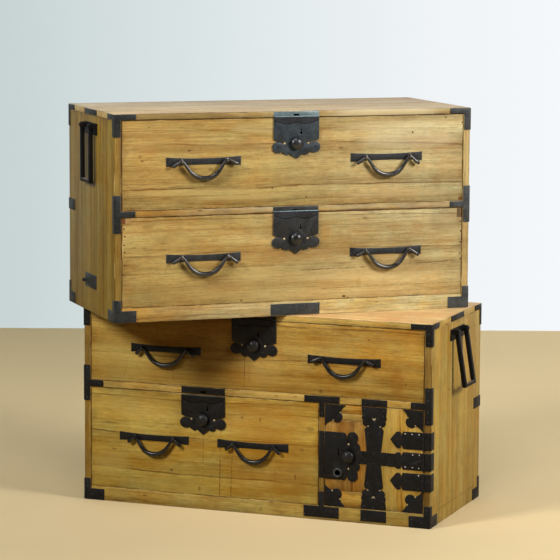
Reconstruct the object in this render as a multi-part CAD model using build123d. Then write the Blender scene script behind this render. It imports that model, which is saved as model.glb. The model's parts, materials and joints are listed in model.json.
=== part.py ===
"""Two-section clothing chest: two stacked cases with drawers, a locked door and forged iron fittings.

The frame has its origin at the centre of the lower case's underside, with +X to the right,
+Y to the back and +Z up. Each case is made about the centre of its own underside with its front
face towards -Y, and the upper case is then turned on top of the lower one.
"""
import os
from math import asin, cos, degrees, hypot, sin

from build123d import *

# ---- driving dimensions, millimetres ----------------------------------------------------------

# cases
case_width = 920.0
case_depth = 406.0
case_height = 502.0
side_board = 18.0
top_board = 15.0
bottom_board = 12.0
back_board = 8.0
foot_rail_height = 36.0      # face of the rail under the lowest drawer
foot_rail_depth = 22.0
runner_width = 40.0          # batten from front to back under the bottom board
upper_shelf_bottom = 254.0
upper_shelf_thickness = 16.0
lower_shelf_bottom = 292.0
lower_shelf_thickness = 18.0
divider_left = 172.0         # left face of the upright between the small drawer and the door
divider_thickness = 15.0
safe_shelf_thickness = 9.0
safe_shelf_height = 118.0    # above the bottom board

# how the upper case stands on the lower one
upper_turn = 40.5            # degrees from square
turn_pivot_x = 31.4
turn_pivot_y = -57.2

# drawers and door
front_board = 20.0
gap_side = 1.3
gap_top = 1.5
gap_bottom = 0.4
drawer_wall = 9.0
drawer_bottom_board = 7.0
drawer_wall_drop = 6.0       # the drawer's walls end this far under the top of its front
drawer_back_gap = 8.0
door_gap = 1.5

# flat irons
iron = 1.5                   # thickness of every flat fitting
iron_edge = 1.0              # distance kept from the edges that cases rest on
corner_leg = 54.0
upright_width = 16.0         # iron on the front end of a side board
side_wrap = 13.0             # its return on the side
top_iron_height = 13.0
foot_iron_height = 28.0
tee_length = 91.0
tee_leg = 52.0
back_band_height = 28.0
back_band_middle = 251.0
side_strap_length = 107.0
foot_strap_length = 127.0
keeper_length = 92.0
keeper_bottom = 60.0
keeper_height = 35.0
keeper_peg_y = 50.0
keeper_peg_z = 75.0
keeper_peg_radius = 4.0
keeper_peg_length = 8.0
divider_tee_length = 92.0
divider_tee_drop = 35.0
divider_iron_width = 13.0
divider_foot_rise = 35.0

# locks, measured from the middle of the edge that the bolt leaves
knob_depth = 62.0            # edge to the knob
lock_half_width = 58.5
lock_proud = 3.5
lock_corner = 3.0
waist_rise = 8.0             # knob to the waist
lock_slit = 4.0
lock_hole_offset = 30.5
lock_hole_radius = 2.6
lobe_reach = 61.5
lobe_top_inset = 14.0
lobe_foot_inset = 17.0
lobe_drop = 23.0             # knob to the foot of the side lobes
scallop_x = 35.0
scallop_drop = 28.5
tip_x = 16.0
tip_drop = 38.5
knob_radius = 14.0
knob_dome = 9.0
knob_travel = 6.0
knob_clearance = 0.08
knob_pocket_clearance = 0.5
stem_radius = 4.0
bolt_lift_ratio = 1.25       # lift of the bolt for each millimetre of the knob
bolt_width = 14.0
bolt_thickness = 5.0
bolt_setback = 8.5           # front face to the bolt
bolt_recess = 0.5            # end of the bolt under the edge when unlocked
bolt_clearance = 0.3
mortise_clearance = 1.0
keyhole_x = 12.0
keyhole_depth = 37.0
keyhole_radius = 3.2
keyhole_slot_width = 2.6
keyhole_slot_length = 12.0
strike_notch_width = 15.0
strike_notch_height = 7.0
lip_gap = 0.5                # strike to the lip of a lock that rises over it
ring_outer_radius = 11.5
ring_inner_radius = 6.5
ring_proud = 4.0
ring_depth = 35.0
ring_offset = 41.5
top_lock_rise = 4.5          # how far a lock plate passes the top of its drawer
second_lock_rise = 6.5
small_lock_rise = -1.0

# drawer handles
full_handle_margin = 205.5   # end of a full-width opening to the middle of the handle
wide_handle_margin = 206.0
small_handle_margin = 174.0
upper_handle_lift = 6.5      # middle of the opening to the middle of the handle plate
wide_handle_lift = 0.5
small_handle_lift = 7.5
handle_plate_half = 94.5
handle_plate_end = 11.0      # half height at the ends
handle_plate_waist = 7.3     # half height in the middle
eye_offset = 57.5
eye_width = 6.0
eye_height = 12.0
eye_proud = 9.0              # plate to the axis of the bail
eye_raise = 3.0              # axis above the middle of the plate
bail_bar_radius = 5.6
bail_pivot_radius = 3.2
bail_clearance = 0.06
bail_arc_radius = 49.4
bail_arc_centre = 6.4        # above the pivot
bail_arc_top = -11.0         # where the arc ends and the tapered arms begin
bail_arm_inset = 4.5         # eye centre to the bend of the arm
fern_reach = 25.0
fern_drop = 14.0
fern_radius = 4.6

# side loops that a carrying pole passes through
loop_bar = 11.0
loop_corner_radius = 15.0
loop_half_span = 37.0
loop_length = 134.0
loop_eye_radius = 8.0
loop_pin_radius = 4.0
loop_clearance = 0.08
loop_proud = 12.0            # wood to the axis
loop_pivot_drop = 41.0       # top of the case to the axis
loop_plate_length = 116.0
loop_plate_drop = 33.0       # top of the case to the plate
loop_plate_height = 29.0
loop_lug = 4.0
loop_lug_gap = 0.4
loop_right_rest = 9.0        # degrees that the lower right loop stands out

# door irons
door_corner = 54.0
strap_centre = 315.0
strap_end_half = 33.0
strap_neck_half = 30.0
strap_shoulder_half = 24.5
strap_middle_half = 18.4
strap_neck_drop = 21.0       # top of the door to the neck
strap_bump_drop = 34.0
strap_cusp_drop = 48.0
cross_strap_half = 16.3
strap_gap = 0.4              # left round the lock's tip
hinge_height = 43.0
hinge_pitch = 51.0
hinge_tip = 357.0
hinge_cusp = 386.0
hinge_wrap = 22.0
hinge_leaf = 2.0
knuckle_radius = 3.2
knuckle_axis_proud = 3.5
hinge_pin_radius = 1.7
hinge_clearance = 0.06
knuckle_gap = 0.4

# ---- places that follow from them --------------------------------------------------------------

half_width = case_width / 2
half_depth = case_depth / 2
front = -half_depth
inner = half_width - side_board
under_top = case_height - top_board
loop_pivot_z = case_height - loop_pivot_drop
divider_right = divider_left + divider_thickness
cross_middle = (foot_rail_height + lower_shelf_bottom) / 2
bolt_travel = knob_travel * bolt_lift_ratio
lock_plate_front = front - lock_proud
bail_axis_proud = iron + eye_proud
hinge_axis_x = inner - door_gap / 2
hinge_axis_y = front - knuckle_axis_proud


def box(x0, x1, y0, y1, z0, z1):
    """A block between two corners, given in any order."""
    size = Box(abs(x1 - x0), abs(y1 - y0), abs(z1 - z0))
    return Pos((x0 + x1) / 2, (y0 + y1) / 2, (z0 + z1) / 2) * size


def front_plate(sketch, back=front, thickness=iron):
    """Extrude a sketch of (x, z) forwards from the plane y = back."""
    plane = Plane(origin=(0, back, 0), x_dir=(1, 0, 0), z_dir=(0, -1, 0))
    return extrude(plane * sketch, thickness)


def closed(*edges):
    return make_face(list(edges))


def lines(*points):
    return [Line(a, b) for a, b in zip(points, points[1:])]


def group(*shapes):
    """Keep several separate pieces in one node."""
    solids = [solid for shape in shapes for solid in shape.solids()]
    return Compound(children=solids)


# ---- case boards -------------------------------------------------------------------------------

def bolt_mortise(x, z_edge):
    """Pocket over a drawer lock's bolt, in the underside of the board at z_edge."""
    wide = bolt_width / 2 + mortise_clearance
    near = front + bolt_setback - mortise_clearance
    far = front + bolt_setback + bolt_thickness + mortise_clearance
    return box(x - wide, x + wide, near, far, z_edge - 1, z_edge + bolt_travel + mortise_clearance)


def case_boards(prefix, shelf_bottom, shelf_thickness, top_lock_x, shelf_lock_x):
    """Sides, top, bottom with its foot rails, shelf and back of one case."""
    back_inside = half_depth - back_board
    top = box(-half_width, half_width, front, half_depth, under_top, case_height)
    left = box(-half_width, -inner, front, half_depth, 0, under_top)
    right = box(inner, half_width, front, half_depth, 0, under_top)
    shelf = box(-inner, inner, front, back_inside, shelf_bottom, shelf_bottom + shelf_thickness)
    floor = box(-inner, inner, front + foot_rail_depth, back_inside,
                foot_rail_height - bottom_board, foot_rail_height)
    front_rail = box(-inner, inner, front, front + foot_rail_depth, 0, foot_rail_height)
    back_rail = box(-inner, inner, back_inside - foot_rail_depth, back_inside,
                    0, foot_rail_height - bottom_board)
    runner = box(-runner_width / 2, runner_width / 2, front + foot_rail_depth,
                 back_inside - foot_rail_depth, 0, foot_rail_height - bottom_board)
    back = box(-inner, inner, back_inside, half_depth, 0, under_top)
    return {
        prefix + "_left_side": left,
        prefix + "_right_side": right,
        prefix + "_top": top - bolt_mortise(top_lock_x, under_top),
        prefix + "_bottom": group(floor, front_rail, back_rail, runner),
        prefix + "_shelf": shelf - bolt_mortise(shelf_lock_x, shelf_bottom),
        prefix + "_back": back,
    }


# ---- flat irons on the cases -------------------------------------------------------------------

def corner_iron(side, face, z_edge, inward, height):
    """Three-way corner iron. side and face are -1 or 1, and inward is the way away from z_edge."""
    x_out, y_out = side * (half_width + iron), face * (half_depth + iron)
    x_wood, y_wood = side * half_width, face * half_depth
    x_upright = side * (half_width - upright_width)
    y_upright = face * (half_depth - side_wrap)
    z_tall, z_short = z_edge + inward * corner_leg, z_edge + inward * height
    legs = [
        box(x_out, x_upright, y_out, y_wood, z_edge, z_tall),
        box(x_out, side * (half_width - corner_leg), y_out, y_wood, z_edge, z_short),
        box(x_out, x_wood, y_out, y_upright, z_edge, z_tall),
        box(x_out, x_wood, y_out, face * (half_depth - corner_leg), z_edge, z_short),
    ]
    return legs[0] + legs[1:]


def tee_iron(side, shelf_bottom, shelf_thickness):
    """T-shaped iron over the joint of a side board and the shelf."""
    middle = shelf_bottom + shelf_thickness / 2
    leg = shelf_thickness / 2 - iron_edge
    low, high = middle - tee_length / 2, middle + tee_length / 2
    x_out, x_wood = side * (half_width + iron), side * half_width
    upright = box(x_out, side * (half_width - upright_width), front - iron, front, low, high)
    returned = box(x_out, x_wood, front - iron, front + side_wrap, low, high)
    arm = box(x_wood, side * (half_width - tee_leg), front - iron, front, middle - leg, middle + leg)
    return upright + [returned, arm]


def back_band(side):
    """Short band round the back corner at mid height."""
    x_out, x_wood = side * (half_width + iron), side * half_width
    low = back_band_middle - back_band_height / 2
    high = low + back_band_height
    on_side = box(x_out, x_wood, half_depth + iron, half_depth - corner_leg, low, high)
    on_back = box(x_wood, side * (half_width - back_band_height), half_depth + iron, half_depth,
                  low, high)
    return on_side + on_back


def corner_irons(shelf_bottom, shelf_thickness):
    low_edge, high_edge = iron_edge, case_height - iron_edge
    pieces = []
    for side in (-1, 1):
        for face in (-1, 1):
            pieces.append(corner_iron(side, face, high_edge, -1, top_iron_height))
            pieces.append(corner_iron(side, face, low_edge, 1, foot_iron_height))
        pieces.append(tee_iron(side, shelf_bottom, shelf_thickness))
        pieces.append(back_band(side))
    return group(*pieces)


def side_strap(side):
    """Strap on the end of the top board, above a carrying loop."""
    reach = side_strap_length / 2
    high = case_height - iron_edge
    return box(side * half_width, side * (half_width + iron), -reach, reach,
               high - top_iron_height, high)


def strike(x, board_bottom, board_thickness):
    """Plate on a rail's front edge, with a notch over the bolt."""
    low, high = board_bottom + iron_edge, board_bottom + board_thickness - iron_edge
    plate = box(x - lock_half_width, x + lock_half_width, front - iron, front, low, high)
    notch = strike_notch_width / 2
    return plate - box(x - notch, x + notch, front - 2 * iron, front + 1, low - 1,
                       low + strike_notch_height)


def keeper(side):
    """Plate and peg low on the upper case's side, inside the reach of the lower case's loop."""
    reach = keeper_length / 2
    plate = box(side * half_width, side * (half_width + iron), -reach, reach + 2 * keeper_peg_radius,
                keeper_bottom, keeper_bottom + keeper_height)
    peg = Cylinder(keeper_peg_radius, keeper_peg_length, align=(Align.CENTER, Align.CENTER, Align.MIN))
    turned = Rot(0, side * 90, 0) * peg
    return plate + Pos(side * (half_width + iron), keeper_peg_y, keeper_peg_z) * turned


# ---- locks -------------------------------------------------------------------------------------

def lock_outline(rise):
    """Lock plate in (x, z): z = 0 is the edge that the bolt leaves, and rise is how far it passes it."""
    slit_end_x = lock_hole_offset - 2
    waist_z = waist_rise - knob_depth
    lobe_top = waist_z - lock_slit
    lobe_foot = -knob_depth - lobe_drop
    scallop_foot = -knob_depth - scallop_drop
    tip_z = -knob_depth - tip_drop
    half = lines((0, rise), (lock_half_width, rise), (lock_half_width, waist_z + lock_corner),
                 (lock_half_width - lock_corner, waist_z), (slit_end_x, -knob_depth + 1),
                 (slit_end_x + 1, -knob_depth - 1), (lobe_reach - lobe_top_inset, lobe_top))
    half.append(ThreePointArc((lobe_reach - lobe_top_inset, lobe_top),
                              (lobe_reach, (lobe_top + lobe_foot) / 2),
                              (lobe_reach - lobe_foot_inset, lobe_foot)))
    half.append(ThreePointArc((lobe_reach - lobe_foot_inset, lobe_foot),
                              (scallop_x + 4, lobe_foot + 1), (scallop_x, lobe_foot + 3)))
    half.append(ThreePointArc((scallop_x, lobe_foot + 3), ((scallop_x + tip_x) / 2, scallop_foot),
                              (tip_x, scallop_foot + 3)))
    half.append(ThreePointArc((tip_x, scallop_foot + 3), (tip_x * 0.42, tip_z + 5), (0, tip_z)))
    half.append(Line((0, tip_z), (0, rise)))
    right = make_face(half)
    return right + mirror(right, about=Plane.YZ)


def keyhole():
    slot_middle = -keyhole_depth + keyhole_slot_length / 2
    slot = Pos(keyhole_x, slot_middle) * Rectangle(keyhole_slot_width, keyhole_slot_length)
    return slot + Pos(keyhole_x, -keyhole_depth) * Circle(keyhole_radius)


def lock_plate(rise, ring=False):
    """Lock plate about the middle of its board's edge, with the board's face at y = 0."""
    holes = [Pos(side * lock_hole_offset, -knob_depth) * Circle(lock_hole_radius) for side in (-1, 1)]
    bore = Pos(0, -knob_depth) * Circle(knob_radius + knob_clearance)
    sketch = lock_outline(rise) - holes - bore - keyhole()
    plate = front_plate(sketch, 0, lock_proud)
    if rise > 0:
        plate -= box(-lobe_reach, lobe_reach, 1, -iron - lip_gap, 0, rise + 1)
    if ring:
        collar = Circle(ring_outer_radius) - Circle(ring_inner_radius)
        place = Pos(-ring_offset, -ring_depth)
        plate -= front_plate(place * Circle(ring_inner_radius), 0, lock_proud)
        plate += front_plate(place * collar, -lock_proud, ring_proud)
    return plate


def along_y(radius, y0, y1, x=0.0, z=0.0):
    """Round bar along Y between two depths."""
    bar = Rot(90, 0, 0) * Cylinder(radius, abs(y1 - y0))
    return Pos(x, (y0 + y1) / 2, z) * bar


def wedge_half_space(gap):
    """Block above the sloping plane on which the stem lifts the bolt, gap away from the stem."""
    size = 60.0
    slope = degrees(asin(1 / hypot(1, bolt_lift_ratio)))
    block = Box(size, size, size, align=(Align.CENTER, Align.CENTER, Align.MIN))
    tilted = Rot(-(90 - slope), 0, 0) * Pos(0, 0, gap) * block
    return Pos(0, bolt_setback, -knob_depth) * tilted


def lock_knob():
    """Domed push knob with the sloping end of its stem, as it stands when unlocked."""
    skirt_front = -lock_proud - knob_travel
    ball_radius = (knob_radius ** 2 + knob_dome ** 2) / (2 * knob_dome)
    ball_middle = skirt_front - knob_dome + ball_radius
    half_angle = asin(knob_radius / ball_radius) / 2
    shoulder = (ball_radius * sin(half_angle), ball_middle - ball_radius * cos(half_angle))
    profile = lines((0, skirt_front - knob_dome), (0, 0), (knob_radius, 0),
                    (knob_radius, skirt_front))
    profile.append(ThreePointArc((knob_radius, skirt_front), shoulder, (0, skirt_front - knob_dome)))
    head = revolve(make_face(profile), Axis.Y)
    stem = along_y(stem_radius, 0, bolt_setback + 2 * stem_radius) - Pos(0, 0, knob_depth) * (
        wedge_half_space(0))
    return Pos(0, 0, -knob_depth) * (head + stem)


def lock_bolt():
    """Flat bolt behind the stem, as it stands when unlocked."""
    wide = bolt_width / 2
    foot = -knob_depth - stem_radius
    bar = box(-wide, wide, bolt_setback, bolt_setback + bolt_thickness, foot, -bolt_recess)
    return bar & wedge_half_space(bolt_clearance)


def lock_cut():
    """What a front board loses to its lock: knob pocket, stem bore, bolt slot and key pocket."""
    pocket_depth = knob_travel + knob_pocket_clearance
    pocket = along_y(knob_radius + knob_pocket_clearance, -1, pocket_depth, z=-knob_depth)
    bore_depth = bolt_setback + stem_radius / bolt_lift_ratio + knob_travel + mortise_clearance
    bore = along_y(stem_radius + bolt_clearance, 0, bore_depth, z=-knob_depth)
    wide = bolt_width / 2 + bolt_clearance
    slot = box(-wide, wide, bolt_setback - bolt_clearance,
               bolt_setback + bolt_thickness + bolt_clearance,
               -knob_depth - stem_radius - mortise_clearance, 1)
    key = along_y(keyhole_radius, -1, bolt_setback, keyhole_x, -keyhole_depth)
    return pocket + [bore, slot, key]


def lock(place, rise, ring=False):
    """A lock's plate, knob and bolt and the cut for them, moved to their place."""
    return {
        "plate": place * lock_plate(rise, ring),
        "knob": place * lock_knob(),
        "bolt": place * lock_bolt(),
        "cut": place * lock_cut(),
    }


# ---- drawer handles ----------------------------------------------------------------------------

def handle_plate():
    end, waist, half = handle_plate_end, handle_plate_waist, handle_plate_half
    top = ThreePointArc((-half, end), (0, waist), (half, end))
    bottom = ThreePointArc((half, -end), (0, -waist), (-half, -end))
    right_end = Line((half, end), (half, -end))
    left_end = Line((-half, -end), (-half, end))
    return front_plate(closed(top, right_end, bottom, left_end), 0)


def handle_eye(side):
    """Post through whose eye the bail turns."""
    axis_y = -bail_axis_proud
    x0, x1 = side * eye_offset - eye_width / 2, side * eye_offset + eye_width / 2
    half = eye_height / 2
    block = box(x0, x1, -iron, axis_y, eye_raise - half, eye_raise + half)
    nose = along_x(half, x0, x1, axis_y, eye_raise)
    hole = along_x(bail_pivot_radius + bail_clearance, x0 - 1, x1 + 1, axis_y, eye_raise)
    return block + nose - hole


def along_x(radius, x0, x1, y, z):
    """Round bar along X between two places."""
    bar = Rot(0, 90, 0) * Cylinder(radius, abs(x1 - x0))
    return Pos((x0 + x1) / 2, y, z) * bar


def tapered(start, end, radius_start, radius_end):
    """Cone between two points (x, z) of the bail's plane."""
    length = hypot(end[0] - start[0], end[1] - start[1])
    plane = Plane(origin=(start[0], 0, start[1]), z_dir=(end[0] - start[0], 0, end[1] - start[1]))
    cone = Cone(radius_start, radius_end, length, align=(Align.CENTER, Align.CENTER, Align.MIN))
    return plane * cone


def bail():
    """Bail about its axis, hanging: thick round bow, tapered arms and fern-shaped ends."""
    start_z = bail_arc_top
    start_x = (bail_arc_radius ** 2 - (start_z - bail_arc_centre) ** 2) ** 0.5
    bow = ThreePointArc((-start_x, 0, start_z), (0, 0, bail_arc_centre - bail_arc_radius),
                        (start_x, 0, start_z))
    section = Plane(origin=bow @ 0, z_dir=bow % 0) * Circle(bail_bar_radius)
    bar = sweep(section, path=bow)
    for side in (-1, 1):
        bend = (side * (eye_offset - bail_arm_inset - 1), 0)
        end = (side * (eye_offset + bail_arm_inset), 0)
        tip = (side * (eye_offset + fern_reach), -fern_drop)
        arc_end = (side * start_x, start_z)
        bar += Pos(arc_end[0], 0, arc_end[1]) * Sphere(bail_bar_radius)
        bar += tapered(arc_end, bend, bail_bar_radius, bail_pivot_radius)
        bar += Pos(bend[0], 0, 0) * Sphere(bail_pivot_radius)
        bar += along_x(bail_pivot_radius, bend[0], end[0], 0, 0)
        bar += Pos(end[0], 0, 0) * Sphere(bail_pivot_radius)
        bar += tapered(end, tip, bail_pivot_radius, fern_radius)
        bar += Pos(tip[0], 0, tip[1]) * Sphere(fern_radius)
    return bar


# ---- drawers -----------------------------------------------------------------------------------

def drawer(x0, x1, z0, z1, rise, handle_margin, handle_lift):
    """One drawer in the opening (x0, x1, z0, z1) of a case, with its lock, handles and bails."""
    middle = (x0 + x1) / 2
    handle_x = (x1 - x0) / 2 - handle_margin
    left, right = x0 + gap_side, x1 - gap_side
    low, high = z0 + gap_bottom, z1 - gap_top
    board = box(left, right, front, front + front_board, low, high)
    lock_set = lock(Pos(middle, front, high), rise)
    inside_front = front + front_board
    rear = half_depth - back_board - drawer_back_gap
    wall_top = high - drawer_wall_drop
    walls = [
        box(left, left + drawer_wall, inside_front, rear, low, wall_top),
        box(right - drawer_wall, right, inside_front, rear, low, wall_top),
        box(left + drawer_wall, right - drawer_wall, rear - drawer_wall, rear, low, wall_top),
        box(left + drawer_wall, right - drawer_wall, inside_front, rear - drawer_wall,
            low, low + drawer_bottom_board),
    ]
    plate_z = (z0 + z1) / 2 + handle_lift
    irons = [lock_set["plate"]]
    bails = []
    for side in (-1, 1):
        place = Pos(middle + side * handle_x, front, plate_z)
        irons += [place * handle_plate(), place * handle_eye(-1), place * handle_eye(1)]
        axis = Pos(middle + side * handle_x, front - bail_axis_proud, plate_z + eye_raise)
        bails.append(axis * bail())
    return {
        "front": board - lock_set["cut"],
        "box": group(*walls),
        "irons": group(*irons),
        "knob": lock_set["knob"],
        "bolt": lock_set["bolt"],
        "left_bail": bails[0],
        "right_bail": bails[1],
    }


# ---- carrying loops ----------------------------------------------------------------------------

def loop():
    """Loop of square bar about its axis along Y, hanging."""
    reach = loop_half_span
    path = FilletPolyline((0, -reach, 0), (0, -reach, -loop_length), (0, reach, -loop_length),
                          (0, reach, 0), radius=loop_corner_radius)
    section = Plane(origin=path @ 0, z_dir=path % 0, x_dir=(1, 0, 0)) * Rectangle(loop_bar, loop_bar)
    bar = sweep(section, path=path)
    half_bar = loop_bar / 2
    for middle in (-reach, reach):
        bar += along_y(loop_eye_radius, middle - half_bar, middle + half_bar)
        bar -= along_y(loop_pin_radius + loop_clearance, middle - loop_bar, middle + loop_bar)
    return bar


def loop_bracket(side):
    """Plate with two pairs of lugs, each pair with a pin riveted through it."""
    x_wood, x_face = side * half_width, side * (half_width + iron)
    x_axis = side * (half_width + loop_proud)
    reach = loop_plate_length / 2
    plate_top = case_height - loop_plate_drop
    bracket = box(x_wood, x_face, -reach, reach, plate_top - loop_plate_height, plate_top)
    near = loop_bar / 2 + loop_lug_gap
    far = near + loop_lug
    nose = loop_pin_radius + 2
    for leg in (-1, 1):
        middle = leg * loop_half_span
        for way in (-1, 1):
            y0, y1 = middle + way * near, middle + way * far
            bracket += box(x_face, x_axis, y0, y1, loop_pivot_z - nose, loop_pivot_z + nose)
            bracket += along_y(nose, y0, y1, x_axis, loop_pivot_z)
        bracket += along_y(loop_pin_radius, middle - far, middle + far, x_axis, loop_pivot_z)
    return bracket


# ---- door --------------------------------------------------------------------------------------

door_left = divider_right + door_gap
door_right = inner - door_gap
door_low = foot_rail_height + door_gap
door_high = lower_shelf_bottom - door_gap


def door_corner_outline():
    """Scalloped corner iron in the corner's own frame: x inwards, z inwards."""
    leg = door_corner
    cusp_far, cusp_near = leg * 0.73, leg * 0.36
    edges = lines((0, leg), (0, 0), (leg, 0))
    edges.append(ThreePointArc((leg, 0), (leg * 0.86, leg * 0.13), (cusp_far, cusp_near)))
    edges.append(ThreePointArc((cusp_far, cusp_near), (leg * 0.75, leg * 0.75), (cusp_near, cusp_far)))
    edges.append(ThreePointArc((cusp_near, cusp_far), (leg * 0.13, leg * 0.86), (0, leg)))
    outline = make_face(edges)
    hole = lock_hole_radius * 0.8
    for x, z in ((cusp_far, cusp_near), (cusp_near, cusp_far)):
        outline -= Pos(x, z) * Circle(hole)
    return outline


def door_corner_irons():
    pieces = []
    for x, turn_x in ((door_left, 1), (door_right, -1)):
        for z, turn_z in ((door_low, 1), (door_high, -1)):
            outline = door_corner_outline()
            if turn_x < 0:
                outline = mirror(outline, about=Plane.YZ)
            if turn_z < 0:
                outline = mirror(outline, about=Plane.XZ)
            pieces.append(front_plate(Pos(x, z) * outline))
    return pieces


def strap_half():
    """Right upper quarter of the upright strap about the middle of the door, in (x, z)."""
    top = door_high - cross_middle
    neck, bump, cusp = top - strap_neck_drop, top - strap_bump_drop, top - strap_cusp_drop
    edges = lines((0, 0), (0, top), (strap_end_half, top), (strap_neck_half, neck))
    edges.append(ThreePointArc((strap_neck_half, neck), (strap_neck_half + 1.5, neck - 6),
                               (strap_neck_half - 1.5, bump)))
    edges.append(ThreePointArc((strap_neck_half - 1.5, bump), (strap_neck_half - 1, bump - 8),
                               (strap_shoulder_half - 6, cusp)))
    edges += lines((strap_shoulder_half - 6, cusp), (strap_shoulder_half, cusp - 8),
                   (strap_middle_half, cross_strap_half), (strap_middle_half, 0), (0, 0))
    quarter = make_face(edges)
    quarter -= Pos(strap_shoulder_half - 8, cusp) * Circle(lock_hole_radius * 0.8)
    crescent = Circle(4.4) - Pos(0, 3.4) * Circle(3.6)
    return quarter - Pos(0, neck - 7) * crescent


def door_straps():
    """Upright strap and the bar that crosses it, forged as one cross."""
    quarter = strap_half()
    upper = quarter + mirror(quarter, about=Plane.YZ)
    upright = upper + mirror(upper, about=Plane.XZ)
    left_end = divider_right + knob_depth + scallop_drop
    right_end = hinge_tip + strap_gap
    arm = Pos((left_end + right_end) / 2, 0) * Rectangle(right_end - left_end, 2 * cross_strap_half)
    lock_tip = Rot(0, 0, 90) * lock_outline(0)
    room = offset(Pos(door_left, 0) * lock_tip, strap_gap)
    cross = Pos(strap_centre, 0) * upright + arm - room
    return front_plate(Pos(0, cross_middle) * cross)


def hinge_strap_outline(middle_hinge):
    """Pointed leaf on the door in (x, z) about the hinge's middle height."""
    half = hinge_height / 2
    bar_left = hinge_cusp + 3
    right = hinge_axis_x
    tip = hinge_tip
    body = closed(*lines((bar_left, half), (right, half), (right, -half), (bar_left, -half),
                         (bar_left, half)))
    shoulder = hinge_cusp - 16
    cusp_z = half - 8
    edges = [
        ThreePointArc((hinge_cusp, cusp_z), (hinge_cusp - 7, half - 1), (shoulder, half - 5)),
        ThreePointArc((shoulder, half - 5), (tip + 6, 8), (tip, 0)),
        ThreePointArc((tip, 0), (tip + 6, -8), (shoulder, -half + 5)),
        ThreePointArc((shoulder, -half + 5), (hinge_cusp - 7, -half + 1), (hinge_cusp, -cusp_z)),
    ]
    edges += lines((hinge_cusp, -cusp_z), (bar_left + 1, -half + 1), (bar_left + 1, half - 1),
                   (hinge_cusp, cusp_z))
    head = closed(*edges)
    outline = body + head
    for z in (cusp_z, -cusp_z):
        outline -= Pos(hinge_cusp - 1, z) * Circle(lock_hole_radius * 0.6)
    if middle_hinge:
        outline -= Pos(tip, 0) * Rectangle(4 * strap_gap, 2 * half)
    return outline


def knuckle(z0, z1):
    """Tube round the hinge axis between two heights."""
    tube = Cylinder(knuckle_radius, z1 - z0) - Cylinder(hinge_pin_radius + hinge_clearance, z1 - z0 + 2)
    return Pos(hinge_axis_x, hinge_axis_y, (z0 + z1) / 2) * tube


def hinge_parts():
    """Leaves on the door, leaves on the case and pins of the three hinges."""
    door_leaves, case_leaves, pins = [], [], []
    pin_room = knuckle_radius + knuckle_gap
    for step in (-1, 0, 1):
        middle = cross_middle + step * hinge_pitch
        low, high = middle - hinge_height / 2, middle + hinge_height / 2
        third = hinge_height / 3
        outline = Pos(0, middle) * hinge_strap_outline(step == 0)
        leaf = front_plate(outline, front, hinge_leaf)
        for start, end in ((low - 1, low + third), (high - third, high + 1)):
            leaf -= box(hinge_axis_x - pin_room, hinge_axis_x + 1, front - 9, front + 1, start, end)
        leaf -= Pos(hinge_axis_x, hinge_axis_y, middle) * Cylinder(knuckle_radius - 0.5, hinge_height)
        door_leaves.append(leaf + knuckle(low + third + knuckle_gap, high - third - knuckle_gap))
        plate = box(hinge_axis_x, half_width + hinge_leaf, front - hinge_leaf, front, low, high)
        plate += box(half_width, half_width + hinge_leaf, front - hinge_leaf, front + hinge_wrap, low, high)
        plate -= box(hinge_axis_x - 1, hinge_axis_x + pin_room, front - 9, front + 1,
                     low + third, high - third)
        plate -= Pos(hinge_axis_x, hinge_axis_y, middle) * Cylinder(knuckle_radius - 0.5, hinge_height + 2)
        case_leaves.append(plate + knuckle(low, low + third) + knuckle(high - third, high))
        pins.append(Pos(hinge_axis_x, hinge_axis_y, middle) * Cylinder(hinge_pin_radius, hinge_height))
    return door_leaves, case_leaves, pins


def door():
    """Door panel, its irons, its lock and its three hinges."""
    panel = box(door_left, door_right, front, front + front_board, door_low, door_high)
    lock_set = lock(Location((door_left, front, cross_middle), (0, -90, 0)), 0, ring=True)
    door_leaves, case_leaves, pins = hinge_parts()
    return {
        "door_panel": panel - lock_set["cut"],
        "door_irons": group(door_straps(), *door_corner_irons()),
        "door_hinge_straps": group(*door_leaves),
        "case_hinge_leaves": group(*case_leaves),
        "door_hinge_pins": group(*pins),
        "door_lock_plate": lock_set["plate"],
        "door_knob": lock_set["knob"],
        "door_bolt": lock_set["bolt"],
    }


# ---- the two cases -----------------------------------------------------------------------------

def upper_case():
    nodes = case_boards("upper", upper_shelf_bottom, upper_shelf_thickness, 0, 0)
    nodes["upper_corner_irons"] = corner_irons(upper_shelf_bottom, upper_shelf_thickness)
    reach = foot_strap_length / 2
    foot_strap = box(-reach, reach, front - iron, front, 2 * iron_edge, 2 * iron_edge + foot_iron_height)
    nodes["upper_edge_irons"] = group(
        side_strap(-1), side_strap(1), keeper(-1), keeper(1), foot_strap,
        strike(0, under_top, top_board), strike(0, upper_shelf_bottom, upper_shelf_thickness))
    nodes["upper_loop_brackets"] = group(loop_bracket(-1), loop_bracket(1))
    shelf_top = upper_shelf_bottom + upper_shelf_thickness
    drawers = {
        "top_drawer": drawer(-inner, inner, shelf_top, under_top,
                             top_lock_rise, full_handle_margin, upper_handle_lift),
        "second_drawer": drawer(-inner, inner, foot_rail_height, upper_shelf_bottom,
                                second_lock_rise, full_handle_margin, upper_handle_lift),
    }
    for name, pieces in drawers.items():
        nodes.update({name + "_" + key: shape for key, shape in pieces.items()})
    for side, word in ((-1, "left"), (1, "right")):
        axis = Pos(side * (half_width + loop_proud), 0, loop_pivot_z)
        nodes["upper_" + word + "_loop"] = axis * loop()
    return nodes


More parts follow.
